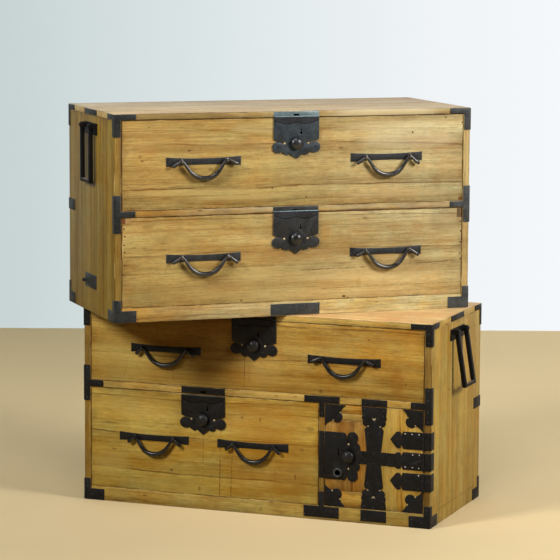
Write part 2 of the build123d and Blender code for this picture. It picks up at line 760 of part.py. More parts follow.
def lower_case():
    small_middle = (divider_left - inner) / 2
    nodes = case_boards("lower", lower_shelf_bottom, lower_shelf_thickness, 0, small_middle)
    rear = half_depth - back_board
    divider = box(divider_left, divider_right, front, rear, foot_rail_height, lower_shelf_bottom)
    wide = bolt_width / 2 + mortise_clearance
    near = front + bolt_setback - mortise_clearance
    far = front + bolt_setback + bolt_thickness + mortise_clearance
    deep = divider_right - bolt_travel - mortise_clearance
    nodes["divider"] = divider - box(deep, divider_right + 1, near, far,
                                     cross_middle - wide, cross_middle + wide)
    shelf_low = foot_rail_height + safe_shelf_height
    nodes["safe_shelf"] = box(divider_right, inner, front + front_board + 15, rear,
                              shelf_low, shelf_low + safe_shelf_thickness)
    nodes["lower_corner_irons"] = corner_irons(lower_shelf_bottom, lower_shelf_thickness)
    nodes["lower_edge_irons"] = group(
        side_strap(-1), side_strap(1), *front_straps(),
        strike(0, under_top, top_board),
        strike(small_middle, lower_shelf_bottom, lower_shelf_thickness))
    nodes["lower_loop_brackets"] = group(loop_bracket(-1), loop_bracket(1))
    shelf_top = lower_shelf_bottom + lower_shelf_thickness
    drawers = {
        "wide_drawer": drawer(-inner, inner, shelf_top, under_top,
                              top_lock_rise, wide_handle_margin, wide_handle_lift),
        "small_drawer": drawer(-inner, divider_left, foot_rail_height, lower_shelf_bottom,
                               small_lock_rise, small_handle_margin, small_handle_lift),
    }
    for name, pieces in drawers.items():
        nodes.update({name + "_" + key: shape for key, shape in pieces.items()})
    nodes["lower_left_loop"] = Pos(-half_width - loop_proud, 0, loop_pivot_z) * loop()
    swung = Rot(0, -loop_right_rest, 0) * loop()
    nodes["lower_right_loop"] = Pos(half_width + loop_proud, 0, loop_pivot_z) * swung
    nodes.update(door())
    return nodes


def front_straps():
    """Irons on the lower case's front: over and under the divider, and the strap's two ends."""
    middle = (divider_left + divider_right) / 2
    reach = divider_tee_length / 2
    leg = divider_iron_width / 2
    shelf_low = lower_shelf_bottom + iron_edge
    shelf_high = lower_shelf_bottom + lower_shelf_thickness - iron_edge
    tee = box(middle - reach, middle + reach, front - iron, front, shelf_low, shelf_high)
    tee += box(middle - leg, middle + leg, front - iron, front,
               lower_shelf_bottom - divider_tee_drop, shelf_low)
    foot_top = foot_rail_height - 2 * iron_edge
    foot_low = foot_top - foot_iron_height
    foot = box(middle - reach, middle + reach, front - iron, front, foot_low, foot_top)
    foot += box(middle - leg, middle + leg, front - iron, front, foot_top,
                foot_rail_height + divider_foot_rise)
    over = box(strap_centre - strap_end_half, strap_centre + strap_end_half, front - iron, front,
               shelf_low, shelf_high)
    under = box(strap_centre - strap_end_half, strap_centre + strap_end_half, front - iron, front,
                foot_low, foot_top)
    strike_half = lock_half_width
    on_divider = box(middle - leg, middle + leg, front - iron, front,
                     cross_middle - strike_half, cross_middle + strike_half)
    return [tee, foot, over, under, on_divider]


turned_place = (Pos(turn_pivot_x, turn_pivot_y, case_height) * Rot(0, 0, upper_turn)
                * Pos(-turn_pivot_x, -turn_pivot_y, 0))

os.makedirs("parts", exist_ok=True)
parts = lower_case()
for name, shape in upper_case().items():
    parts[name] = turned_place * shape
for name, shape in parts.items():
    export_step(shape, "parts/" + name + ".step")
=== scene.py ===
import json
from math import cos, pi, radians, sin

import bmesh
import bpy
from mathutils import Matrix, Vector

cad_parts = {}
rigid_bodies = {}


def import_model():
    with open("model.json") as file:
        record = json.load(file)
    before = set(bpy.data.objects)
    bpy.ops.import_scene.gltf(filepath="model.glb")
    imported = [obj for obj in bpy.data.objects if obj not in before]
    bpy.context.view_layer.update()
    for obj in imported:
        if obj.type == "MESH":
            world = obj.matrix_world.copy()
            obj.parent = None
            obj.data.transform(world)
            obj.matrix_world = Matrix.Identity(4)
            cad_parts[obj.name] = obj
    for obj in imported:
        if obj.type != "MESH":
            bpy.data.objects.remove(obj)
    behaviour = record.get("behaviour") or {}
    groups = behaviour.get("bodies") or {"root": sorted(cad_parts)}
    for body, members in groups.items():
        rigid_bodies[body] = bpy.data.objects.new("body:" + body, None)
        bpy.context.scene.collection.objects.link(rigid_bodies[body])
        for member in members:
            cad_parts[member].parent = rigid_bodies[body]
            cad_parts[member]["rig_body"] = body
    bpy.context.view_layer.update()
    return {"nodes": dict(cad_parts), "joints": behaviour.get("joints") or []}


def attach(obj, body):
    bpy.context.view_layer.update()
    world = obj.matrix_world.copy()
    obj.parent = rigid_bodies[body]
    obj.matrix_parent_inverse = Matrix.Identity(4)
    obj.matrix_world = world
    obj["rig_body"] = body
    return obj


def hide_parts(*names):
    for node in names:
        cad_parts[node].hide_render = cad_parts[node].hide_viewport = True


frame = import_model()
nodes = frame["nodes"]
print("frame loaded:", len(nodes), "nodes")

chest = {
    "width": 0.920,          # metres
    "depth": 0.406,
    "height": 0.502,
    "turn": 40.5,            # degrees that the upper case stands from square
    "pivot": (0.0314, -0.0572),
}
front = -chest["depth"] / 2
halfWidth = chest["width"] / 2
pivot = Vector((*chest["pivot"], 0))
lift = Vector((0, 0, chest["height"]))
places = {
    "lower": Matrix.Identity(4),
    "upper": (Matrix.Translation(pivot + lift) @ Matrix.Rotation(radians(chest["turn"]), 4, "Z")
              @ Matrix.Translation(-pivot)),
}


def caseOf(nodeName):
    return "upper" if nodeName.startswith(("upper", "top_drawer", "second_drawer")) else "lower"


def boxOf(points):
    return (Vector([min(p[i] for p in points) for i in range(3)]),
            Vector([max(p[i] for p in points) for i in range(3)]))


def ownBox(nodeName):
    back = places[caseOf(nodeName)].inverted()      # a case's own frame: front face on -Y, floor at 0
    return boxOf([back @ v.co for v in nodes[nodeName].data.vertices])


def linear(rgb):
    out = []
    for value in rgb:
        v = value / 255
        out.append(v / 12.92 if v <= 0.04045 else ((v + 0.055) / 1.055) ** 2.4)
    return (*out, 1.0)


class Graph:
    # short names for adding shader nodes
    def __init__(self, name):
        self.material = bpy.data.materials.new(name)
        self.material.use_nodes = True
        self.tree = self.material.node_tree
        self.tree.nodes.clear()
        self.shader = self.add("ShaderNodeBsdfPrincipled")
        self.output = self.add("ShaderNodeOutputMaterial")
        self.link(self.shader.outputs["BSDF"], self.output.inputs["Surface"])

    def add(self, kind, **settings):
        node = self.tree.nodes.new(kind)
        for key, value in settings.items():
            setattr(node, key, value)
        return node

    def link(self, source, target):
        self.tree.links.new(source, target)

    def put(self, socket, value):
        if isinstance(value, bpy.types.NodeSocket):
            self.link(value, socket)
        else:
            socket.default_value = value

    def math(self, operation, a, b=0.5, c=None):
        node = self.add("ShaderNodeMath", operation=operation)
        self.put(node.inputs[0], a)
        self.put(node.inputs[1], b)
        if c is not None:
            self.put(node.inputs[2], c)
        return node.outputs[0]

    def times(self, *values):
        out = values[0]
        for value in values[1:]:
            out = self.math("MULTIPLY", out, value)
        return out

    def vector(self, operation, a, b=(0, 0, 0), scale=1.0):
        node = self.add("ShaderNodeVectorMath", operation=operation)
        self.put(node.inputs[0], a)
        self.put(node.inputs[1], b)
        if operation == "SCALE":
            self.put(node.inputs["Scale"], scale)
        return node.outputs["Value" if operation in ("LENGTH", "DISTANCE", "DOT_PRODUCT") else "Vector"]

    def noise(self, vector, scale=1.0, detail=3.0, rough=0.5, out="Fac"):
        node = self.add("ShaderNodeTexNoise")
        self.put(node.inputs["Vector"], vector)
        node.inputs["Scale"].default_value = scale
        node.inputs["Detail"].default_value = detail
        node.inputs["Roughness"].default_value = rough
        return node.outputs[out]

    def spread(self, value, low, high, toLow=0.0, toHigh=1.0, smooth=False):
        node = self.add("ShaderNodeMapRange")
        node.interpolation_type = "SMOOTHSTEP" if smooth else "LINEAR"
        self.put(node.inputs["Value"], value)
        for key, number in (("From Min", low), ("From Max", high),
                            ("To Min", toLow), ("To Max", toHigh)):
            node.inputs[key].default_value = number
        return node.outputs["Result"]

    def mix(self, factor, a, b, blend="MIX"):
        node = self.add("ShaderNodeMix", data_type="RGBA", blend_type=blend)
        self.put(node.inputs[0], factor)
        self.put(node.inputs[6], a)
        self.put(node.inputs[7], b)
        return node.outputs[2]

    def mapping(self, vector, location=(0, 0, 0), rotation=(0, 0, 0), scale=(1, 1, 1)):
        node = self.add("ShaderNodeMapping")
        self.put(node.inputs["Vector"], vector)
        node.inputs["Location"].default_value = location
        node.inputs["Rotation"].default_value = rotation
        node.inputs["Scale"].default_value = scale
        return node.outputs["Vector"]

    def ownPoint(self, case):
        point = self.add("ShaderNodeTexCoord").outputs["Object"]
        if case == "lower":
            return point
        back = places["upper"].inverted()       # turned back into the case's own frame
        return self.mapping(point, back.translation, (0, 0, -radians(chest["turn"])))

    def split(self, vector):
        node = self.add("ShaderNodeSeparateXYZ")
        self.link(vector, node.inputs[0])
        return list(node.outputs)

    def join(self, values):
        node = self.add("ShaderNodeCombineXYZ")
        for socket, value in zip(node.inputs, values):
            self.put(socket, value)
        return node.outputs[0]

    def jitter(self, vector, scale, amount):
        color = self.noise(vector, scale, 2.0, 0.6, "Color")
        centred = self.vector("SUBTRACT", color, (0.5, 0.5, 0.5))
        return self.vector("ADD", vector, self.vector("SCALE", centred, scale=amount))

    def blob(self, vector, centre, sizes):
        # 1 inside an ellipsoid, 0 outside
        scaled = self.vector("DIVIDE", self.vector("SUBTRACT", vector, centre), sizes)
        return self.spread(self.vector("LENGTH", scaled), 0.55, 1.05, 1.0, 0.0, smooth=True)

    def stroke(self, vector, start, end, width):
        # 1 on a line from start to end, 0 outside its width
        line = Vector(end) - Vector(start)
        offset = self.vector("SUBTRACT", vector, start)
        share = self.math("DIVIDE", self.vector("DOT_PRODUCT", offset, tuple(line)), line.length_squared)
        share = self.math("MINIMUM", self.math("MAXIMUM", share, 0.0), 1.0)
        foot = self.vector("SCALE", tuple(line), scale=share)
        away = self.vector("DISTANCE", offset, foot)
        return self.spread(away, width * 0.3, width, 1.0, 0.0, smooth=True)

    def bump(self, height, distance, strength, normal=None):
        node = self.add("ShaderNodeBump")
        node.inputs["Strength"].default_value = strength
        node.inputs["Distance"].default_value = distance
        self.put(node.inputs["Height"], height)
        if normal is not None:
            self.link(normal, node.inputs["Normal"])
        return node.outputs["Normal"]

    def seenStraight(self):
        # 1 for camera, mirror and glass rays, 0 for the light that a surface throws about
        rays = self.add("ShaderNodeLightPath").outputs
        seen = self.math("MAXIMUM", rays["Is Camera Ray"], rays["Is Glossy Ray"])
        return self.math("MAXIMUM", seen, rays["Is Transmission Ray"])

    def blend(self, share, under, over):
        node = self.add("ShaderNodeMixShader")
        for socket, value in zip(node.inputs, (share, under, over)):
            self.link(value, socket)
        return node.outputs[0]

    def finish(self, values):
        for key, value in values.items():
            self.put(self.shader.inputs[key], value)
        return self.material


wood = {
    "ringsPerMetre": 46,     # growth rings, counted from the pith
    "pithDepth": 0.10,       # pith behind the face
    "pithSpread": 0.16,      # how far it lies to either side, from board to board
    "slant": 0.04,           # radians, from board to board
    "wander": 0.022,         # how far the rings stray along the board
    "lineDepth": 0.86,
    "shadeDepth": 0.24,      # soft dark side of each ring
    "roughness": 0.5,
    "gloss": 0.2,
    "ior": 1.45,
    "bump": 0.0003,
    "arris": 0.0019,         # width of the rubbed edges, painted paler as worn wood and as an edge highlight
    # colour that each board darkens to towards its edges
    "edgeDark": (98, 62, 22),
    "seam": (66, 36, 14),    # dirt in the joints
    "fleck": (78, 50, 22),
    "wearAndHighlight": (236, 214, 160),
    "noises": {              # stretch along, across and into the board, shift, detail, roughness
        "ripple": ((4, 16, 12), (0, 0, 0), 4, 0.6),
        "broken": ((7, 34, 20), (0, 0, 0), 3, 0.5),
        "bands": ((1.2, 30, 20), (0, 0, 0), 4, 0.6),
        "streaks": ((2, 170, 120), (0, 0, 0), 4, 0.66),
        "fibres": ((24, 480, 400), (0, 0, 0), 2, 0.6),
        "clouds": ((4.5, 10, 7), (0, 0, 0), 4, 0.6),
        "mottle": ((85, 150, 120), (7, 7, 7), 3, 0.7),
        "across": ((34, 4, 8), (3, 3, 3), 3, 0.5),
        "tint": ((9, 22, 12), (5, 5, 5), 4, 0.65),
        "pores": ((60, 420, 300), (0, 0, 0), 2, 0.7),
        "edgeDarkNoise": ((8, 16, 9), (9, 2, 4), 6, 0.7),
        "patches": ((16, 16, 16), (0, 0, 0), 5, 0.7),
    },
}
tones = {       # light, middle and ring-line colours of each kind of board
    "upperFront": ((212, 179, 104), (184, 148, 78), (118, 82, 38)),
    "upperRail": ((222, 196, 130), (196, 163, 98), (124, 90, 46)),
    "upperFoot": ((204, 158, 78), (184, 139, 61), (112, 72, 28)),
    "upperStile": ((180, 148, 72), (156, 122, 52), (100, 70, 28)),
    "upperTop": ((218, 198, 162), (205, 180, 140), (160, 128, 90)),
    "upperSide": ((156, 126, 46), (128, 99, 30), (70, 48, 12)),
    "lowerFront": ((218, 176, 82), (184, 138, 51), (118, 72, 20)),
    "smallFront": ((214, 180, 82), (186, 146, 52), (122, 80, 22)),
    "lowerRail": ((224, 184, 94), (192, 150, 64), (116, 74, 26)),
    "lowerFoot": ((222, 187, 94), (192, 157, 68), (116, 78, 28)),
    "lowerStile": ((180, 142, 60), (150, 108, 36), (98, 62, 18)),
    "side": ((202, 168, 82), (182, 145, 62), (138, 100, 36)),
    "lowerTop": ((232, 196, 138), (222, 179, 118), (184, 136, 82)),
    "doorBrown": ((200, 148, 63), (172, 118, 41), (104, 60, 18)),
    "doorGold": ((236, 192, 90), (214, 167, 65), (152, 104, 34)),
    "batten": ((214, 166, 66), (192, 138, 46), (134, 86, 26)),
    "strip": ((222, 184, 96), (205, 162, 72), (160, 118, 50)),
    "inner": ((206, 178, 132), (192, 160, 114), (158, 124, 80)),
    "peg": ((84, 54, 26), (70, 44, 20), (50, 30, 14)),
    "palePeg": ((226, 206, 160), (212, 188, 138), (180, 148, 96)),
    "splice": ((216, 178, 118), (200, 158, 98), (158, 114, 62)),
    "repairRed": ((134, 82, 48), (118, 70, 40), (90, 50, 28)),
    "repairGrey": ((122, 102, 72), (108, 88, 60), (84, 66, 44)),
    # repairShade: a dark tone that paints shade
    "repairShade": ((58, 40, 24), (50, 34, 20), (36, 24, 14)),
}
grains = {"x": (0, 2, 1), "y": (1, 0, 2), "z": (2, 0, 1), "side": (2, 1, 0)}


def woodFinish(name, case, tone, grain, box, seed, marks=(), lines=(), edgeDarkening=0.34, rim=0.66,
               skin=None, sheenTowardsEnd=None, plane="front"):
    # marks and lines: place on the face and size in millimetres, then strength and colour
    g = Graph(name)
    low, high = box
    middle, half = (low + high) / 2, (high - low) / 2
    own = g.ownPoint(case)
    parts = g.split(g.vector("SUBTRACT", own, tuple(middle)))
    point = g.join([parts[i] for i in grains[grain]])      # along the fibres, across, into the board
    moved = g.mapping(point, (seed * 3.71, seed * 1.37, seed * 0.61))
    noises = {key: g.noise(g.mapping(moved, shift, scale=stretch), 1.0, detail, rough)
              for key, (stretch, shift, detail, rough) in wood["noises"].items()}
    bands, streaks, fibres, clouds = (noises[key] for key in ("bands", "streaks", "fibres", "clouds"))
    light, mid, dark = (linear(rgb) for rgb in tones[tone])
    if skin:       # one face of the board has another tone
        skinTone, axis, way = skin
        flat = g.spread(g.times(parts[axis], way), half[axis] - 0.0014, half[axis] - 0.0006)
        light, mid, dark = (g.mix(flat, linear(under), linear(over))
                            for under, over in zip(tones[tone], tones[skinTone]))

    # growth rings about the pith: a thin line, broken here and there, with a soft side
    slant = (seed * 0.618 % 1 - 0.5) * wood["slant"]
    drift = g.noise(g.mapping(moved, scale=(1.6, 3.0, 2.0)), 1.0, 2.0, 0.5, "Color")
    sway = g.vector("MULTIPLY", g.vector("SUBTRACT", drift, (0.5, 0.5, 0.5)),
                    (0.0, wood["wander"] * 1.5, wood["wander"]))
    pith = (0, (seed * 0.37 % 1 - 0.5) * wood["pithSpread"], wood["pithDepth"])
    bent = g.mapping(g.vector("ADD", point, sway), pith, (0, 0, slant), (0, 1, 1))
    rings = g.math("MULTIPLY_ADD", g.vector("LENGTH", bent), wood["ringsPerMetre"],
                   g.times(noises["ripple"], 0.45))
    ring = g.math("FRACT", rings)
    strength = g.noise(g.join([g.math("FLOOR", rings), seed * 1.7, 0.0]), 0.83, 0.0)
    strength = g.spread(strength, 0.38, 0.60, 0.05, 1.0)
    broken = g.spread(noises["broken"], 0.38, 0.56, 0.1, 1.0)
    ringEnd = g.spread(ring, 0.955, 1.0, 1.0, 0.0)
    thin = g.times(g.spread(ring, 0.86, 0.95, smooth=True), ringEnd, strength, broken)
    soft = g.times(g.spread(ring, 0.35, 0.95), ringEnd, strength)

    color = g.mix(g.spread(bands, 0.38, 0.62), light, mid)
    for share, over in ((g.spread(streaks, 0.51, 0.68, 0.0, 0.32), dark),
                        (g.spread(streaks, 0.47, 0.33, 0.0, 0.42), light),
                        (g.times(soft, wood["shadeDepth"]), dark),
                        (g.times(thin, wood["lineDepth"]), dark),
                        (g.spread(fibres, 0.47, 0.68, 0.0, 0.42), dark)):
        color = g.mix(share, color, over)
    shift = g.add("ShaderNodeHueSaturation")
    value = g.times(g.spread(clouds, 0.3, 0.7, 0.83, 1.18),
                    g.spread(noises["across"], 0.3, 0.7, 0.965, 1.035),
                    g.spread(noises["mottle"], 0.3, 0.7, 0.90, 1.10))
    for key, socket in (("Color", color), ("Value", value),
                        ("Hue", g.spread(noises["tint"], 0.3, 0.7, 0.487, 0.513)),
                        ("Saturation", g.spread(noises["tint"], 0.3, 0.7, 1.05, 0.93))):
        g.link(socket, shift.inputs[key])
    color = shift.outputs["Color"]
    if sheenTowardsEnd:       # painted sheen: paler and bluer towards one end
        start, end, change = sheenTowardsEnd
        color = g.mix(g.spread(g.split(own)[0], start, end), color, g.vector("MULTIPLY", color, change))

    # flecks, open pores and short dark dashes along the fibres
    cells = g.add("ShaderNodeTexVoronoi")
    g.link(g.mapping(moved, scale=(9, 24, 16)), cells.inputs["Vector"])
    cells.inputs["Scale"].default_value = 1.0
    chosen = g.spread(g.split(cells.outputs["Color"])[0], 0.80, 0.83)
    fleck = g.times(g.spread(cells.outputs["Distance"], 0.04, 0.085, 1.0, 0.0), chosen)
    color = g.mix(g.times(fleck, 0.5), color, linear(wood["fleck"]))
    pores = g.times(g.spread(noises["pores"], 0.60, 0.70), g.spread(clouds, 0.40, 0.60, 0.25, 1.0))
    color = g.mix(g.times(pores, 0.3), color, dark)

    # darker towards each board's edges, paler rubbed corners with a painted edge highlight, and dark joints
    reach = [g.math("SUBTRACT", half[i], g.math("ABSOLUTE", parts[i])) for i in range(3)]
    inner = g.math("MINIMUM", g.math("MAXIMUM", reach[0], reach[1]), reach[2])
    arris = g.math("MAXIMUM", g.math("MINIMUM", reach[0], reach[1]), inner)
    edgeDark = g.math("MULTIPLY_ADD", g.spread(arris, 0.0, 0.020, 0.26, 0.0), 0.6, noises["edgeDarkNoise"])
    color = g.mix(g.spread(edgeDark, 0.54, 0.78, 0.0, edgeDarkening, smooth=True), color, linear(wood["edgeDark"]))
    patches = noises["patches"]
    # rubbed edges: paler where the wood is worn, and a painted edge highlight
    wearAndHighlight = g.times(g.spread(arris, wood["arris"] * 0.4, wood["arris"], 0.65, 0.0),
                     g.spread(patches, 0.50, 0.40))
    color = g.mix(wearAndHighlight, color, g.mix(0.45, light, linear(wood["wearAndHighlight"])))
    seam = g.times(g.spread(arris, 0.0005, 0.0019, 1.0, 0.0),
                   g.spread(patches, 0.42, 0.56, 0.15, 1.0), rim)
    color = g.mix(seam, color, linear(wood["seam"]))
    height = g.math("MULTIPLY_ADD", thin, -0.5, g.times(streaks, 0.6))
    height = g.math("MULTIPLY_ADD", g.math("MAXIMUM", pores, fleck), -0.9, height)

    if marks or lines:
        across, along, up = g.split(own)
        facing = g.spread(along, front + 0.001, front + 0.003, 1.0, 0.0)
        if plane == "side":       # the first number of a mark is then its depth in the case
            facing = g.spread(g.math("ABSOLUTE", across), halfWidth - 0.003, halfWidth - 0.001)
            across = along
        rough = g.jitter(g.join([across, 0.0, up]), 240.0, 0.0022)
        for x, z, sizeX, sizeZ, depth, rgb in marks:
            spot = g.blob(rough, (x / 1000, 0, z / 1000), (sizeX / 1000, 1, sizeZ / 1000))
            spot = g.times(spot, facing, depth)
            color = g.mix(spot, color, linear(rgb))
            height = g.math("MULTIPLY_ADD", spot, -0.9, height)
        patchy = g.spread(g.noise(own, 70.0, 3.0), 0.40, 0.56, 0.25, 1.0)
        for x0, z0, x1, z1, width, depth, rgb in lines:
            trace = g.stroke(rough, (x0 / 1000, 0, z0 / 1000), (x1 / 1000, 0, z1 / 1000), width / 1000)
            trace = g.times(trace, depth, facing, patchy)
            color = g.mix(trace, color, linear(rgb))
            height = g.math("MULTIPLY_ADD", trace, -0.7, height)

    return g.finish({
        "Base Color": color,
        "Roughness": g.spread(bands, 0.2, 0.8, wood["roughness"] - 0.07, wood["roughness"] + 0.12),
        "IOR": wood["ior"],
        "Specular IOR Level": wood["gloss"],
        "Normal": g.bump(height, wood["bump"], 0.8, g.bump(fibres, 0.0001, 0.5)),
    })


iron = {
    "rust": (92, 60, 38),
    "ior": 1.5,
    "coatRoughness": 0.24,
    "coatIor": 1.6,
    "worn": 1.5,             # how much lighter the rubbed grit is than the pale colour
}


def ironFinish(name, dark, pale, rough, metal, hammer, rust, shine, gloss, paintedShadeAndLight):
    # sheet or bar iron blackened with oil and smoke, rubbed, with a little brown
    g = Graph(name)
    point = g.add("ShaderNodeTexCoord").outputs["Object"]
    blotch = g.noise(point, 38.0, 5.0, 0.66)
    grit = g.noise(point, 330.0, 3.0, 0.7)
    beaten = g.noise(point, 110.0, 1.0, 0.4)
    color = g.mix(g.spread(blotch, 0.36, 0.64), linear(dark), linear(pale))
    worn = [min(255, v * iron["worn"]) for v in pale]
    color = g.mix(g.spread(grit, 0.54, 0.70, 0.0, 0.6), color, linear(worn))
    rusty = g.times(g.spread(g.noise(point, 60.0, 5.0, 0.7), 0.52, 0.68),
                    g.spread(grit, 0.42, 0.62, 0.0, rust))
    color = g.mix(rusty, color, linear(iron["rust"]))
    if paintedShadeAndLight:      # painted shade and light: darker towards the left end of the case, most of all round its corner, and lighter towards the right
        x = g.split(g.ownPoint("upper"))[0]
        share = g.times(g.spread(x, -0.4622, -0.4590, 0.5, 1.0), g.spread(x, -0.46, 0.46, 0.62, 1.75))
        color = g.vector("SCALE", color, scale=share)
    lumps = g.math("MULTIPLY_ADD", blotch, 0.6, beaten)
    return g.finish({
        "Base Color": color,
        "Roughness": g.spread(blotch, 0.3, 0.7, rough - 0.1, rough + 0.12),
        "Metallic": metal,
        "IOR": iron["ior"],
        "Specular IOR Level": gloss,
        "Coat Weight": shine,
        "Coat Roughness": iron["coatRoughness"],
        "Coat IOR": iron["coatIor"],
        "Normal": g.bump(lumps, hammer / 1000, 0.7, g.bump(grit, 0.00008, 0.6)),
    })


roundSharp = 70          # degrees: edges of rounded iron stay smooth below this
ironLooks = {   # dark and pale colour, roughness, metal, hammering in millimetres, rust, shine, gloss
    "upperSheet": ((37, 44, 51), (62, 74, 83), 0.46, 0.25, 0.6, 0.25, 0.0, 0.4),
    "upperCorner": ((40, 42, 43), (62, 65, 66), 0.5, 0.15, 0.6, 0.25, 0.0, 0.22),
    "upperDull": ((32, 34, 36), (52, 54, 56), 0.5, 0.15, 0.6, 0.25, 0.0, 0.3),
    # edge finishes: worn iron, paler to paint a glint on the eased edges
    "upperEdge": ((52, 58, 62), (108, 115, 120), 0.42, 0.35, 0.3, 0.25, 0.0, 0.4),
    # strike finishes: worn iron, pale to paint a highlight
    "upperStrike": ((88, 108, 116), (128, 150, 158), 0.4, 0.4, 0.3, 0.25, 0.0, 0.5),
    "upperHood": ((28, 30, 34), (46, 50, 56), 0.5, 0.2, 0.4, 0.45, 0.0, 0.35),
    "lowerSheet": ((12, 12, 13), (26, 26, 27), 0.56, 0.1, 0.5, 0.2, 0.0, 0.22),
    "lowerEdge": ((22, 22, 23), (52, 52, 52), 0.42, 0.3, 0.3, 0.25, 0.0, 0.35),
    "lowerStrike": ((40, 40, 40), (72, 74, 74), 0.44, 0.3, 0.3, 0.25, 0.0, 0.5),
    "lowerHood": ((9, 8, 9), (18, 17, 17), 0.5, 0.1, 0.4, 0.3, 0.0, 0.2),
    "upperBar": ((20, 20, 22), (50, 50, 52), 0.32, 0.5, 0.3, 0.15, 0.8, 0.5),
    "lowerBar": ((7, 7, 8), (17, 17, 18), 0.36, 0.2, 0.3, 0.15, 0.35, 0.25),
    # eye: paler than the bars, a painted highlight on the eyes' tops
    "eye": ((70, 70, 70), (140, 138, 134), 0.34, 0.6, 0.2, 0.2, 0.6, 0.5),
    "loop": ((6, 6, 7), (13, 12, 13), 0.62, 0.0, 0.4, 0.2, 0.0, 0.18),
    "loopWorn": ((92, 80, 70), (150, 138, 126), 0.4, 0.4, 0.3, 0.5, 0.0, 0.5),
    "upperKnob": ((20, 21, 23), (50, 54, 58), 0.36, 0.4, 0.9, 0.15, 0.25, 0.6),
    "lowerKnob": ((7, 7, 8), (30, 31, 32), 0.46, 0.15, 2.0, 0.15, 0.1, 0.3),
    "ring": ((26, 27, 28), (58, 61, 62), 0.4, 0.3, 0.6, 0.15, 0.2, 0.6),
    "bolt": ((70, 68, 64), (104, 100, 94), 0.42, 0.75, 0.2, 0.3, 0.0, 0.5),
    "nail": ((30, 31, 33), (66, 68, 72), 0.36, 0.5, 0.1, 0.15, 0.0, 0.5),
    "bright": ((214, 212, 204), (240, 238, 230), 0.3, 0.3, 0.1, 0.05, 0.0, 0.5),
    # near-black finish that paints shade in holes, notches and under the hood
    "paintedShade": ((4, 3, 3), (7, 6, 5), 0.9, 0.0, 0.2, 0.0, 0.0, 0.0),
}
irons = {key: ironFinish(key + "Iron", *look, paintedShadeAndLight=key == "upperCorner") for key, look in ironLooks.items()}
sheetSlot, edgeSlot, wornGlintSlot, dullSlot = range(4)      # material slots of a dressed iron
print("finishes made")


def markShading(bm):
    # flat sides stay flat, rounded sides are shaded smooth
    for face in bm.faces:
        angles = [edge.calc_face_angle(0) for edge in face.edges if len(edge.link_faces) == 2]
        face.smooth = any(radians(1.5) < angle < radians(28) for angle in angles)


def easeEdges(bm, width, segments=2, edges=None):
    if edges is None:
        edges = [e for e in bm.edges if e.is_manifold and e.calc_face_angle(0) > radians(32)]
    made = bmesh.ops.bevel(bm, geom=edges, offset=width, offset_type="OFFSET", segments=segments,
                           profile=0.5, affect="EDGES", clamp_overlap=False, material=-1)
    for face in made["faces"]:
        face.smooth = True
    return made["faces"]


def turnOutward(bm):
    bmesh.ops.recalc_face_normals(bm, faces=bm.faces)


def moveAll(bm, matrix):
    bmesh.ops.transform(bm, matrix=matrix, verts=bm.verts)


def setFaces(faces, **settings):
    for face in faces:
        for key, value in settings.items():
            setattr(face, key, value)


def edgesOf(verts):
    # each edge once, in an order that every run repeats
    return list(dict.fromkeys(edge for v in verts for edge in v.link_edges))


def looseParts(bm):
    parts, seen = [], set()
    for face in bm.faces:
        if face in seen:
            continue
        part, queue = [], [face]
        seen.add(face)
        while queue:
            item = queue.pop()
            part.append(item)
            for edge in item.edges:
                for other in edge.link_faces:
                    if other not in seen:
                        seen.add(other)
                        queue.append(other)
        parts.append(part)
    return parts


def mergedCopy(nodeName):
    bm = bmesh.new()
    bm.from_mesh(nodes[nodeName].data)
    bmesh.ops.remove_doubles(bm, verts=bm.verts, dist=1e-5)
    bmesh.ops.dissolve_limit(bm, angle_limit=radians(0.6), verts=bm.verts, edges=bm.edges)
    setFaces(bm.faces, material_index=0)
    markShading(bm)
    return bm


def addObject(name, data):
    made = bpy.data.objects.new(name, data)
    bpy.context.scene.collection.objects.link(made)
    return made


def finishPiece(name, bm, materials, body, replaced=(), sharp=40):
    mesh = bpy.data.meshes.new(name)
    bm.to_mesh(mesh)
    bm.free()
    mesh.set_sharp_from_angle(angle=radians(sharp))
    piece = addObject(name, mesh)
    for item in materials if isinstance(materials, list) else [materials]:
        mesh.materials.append(item)
    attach(piece, body)
    if replaced:
        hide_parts(*replaced)


def bodyOf(nodeName):
    return nodes[nodeName]["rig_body"]


def dressIron(nodeName, materials, width=0.0004, segments=2, shape=None):
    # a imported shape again, with eased edges; shape may change the copy first
    bm = mergedCopy(nodeName)
    if shape:
        shape(bm)
    for face in easeEdges(bm, width, segments):
        if isinstance(materials, list) and face.material_index in (sheetSlot, dullSlot):
            face.material_index = edgeSlot      # rubbed paler than the sheet: worn iron and a painted edge glint
    finishPiece(nodeName + "_finished", bm, materials, bodyOf(nodeName), [nodeName])


def sheetOf(case, kind="Sheet"):
    dull = "upperDull" if case == "upper" else "lowerSheet"
    return [irons[case + kind], irons[case + "Edge"], irons[case + "Strike"], irons[dull]]


seeds = {}


def dressBoard(nodeName, tone, grain="auto", edge=0.0009, **extra):
    # every separate board of the node takes its grain along its longest side
    seeds[nodeName] = len(seeds) + 1
    case = caseOf(nodeName)
    back = places[case].inverted()
    bm = mergedCopy(nodeName)
    materials, kinds = [], {}
    for part in looseParts(bm):
        low, high = boxOf([back @ v.co for face in part for v in face.verts])
        size = high - low
        along = "xyz"[list(size).index(max(size))] if grain == "auto" else grain
        key = (along, round(size.x, 3), round(size.z, 3))
        if key not in kinds:
            kinds[key] = len(materials)
            materials.append(woodFinish("%sWood%d" % (nodeName, len(materials)), case, tone, along,
                                        (low, high), seeds[nodeName] + 0.31 * len(materials), **extra))
        setFaces(part, material_index=kinds[key])
    easeEdges(bm, edge)
    finishPiece(nodeName + "_finished", bm, materials, bodyOf(nodeName), [nodeName])


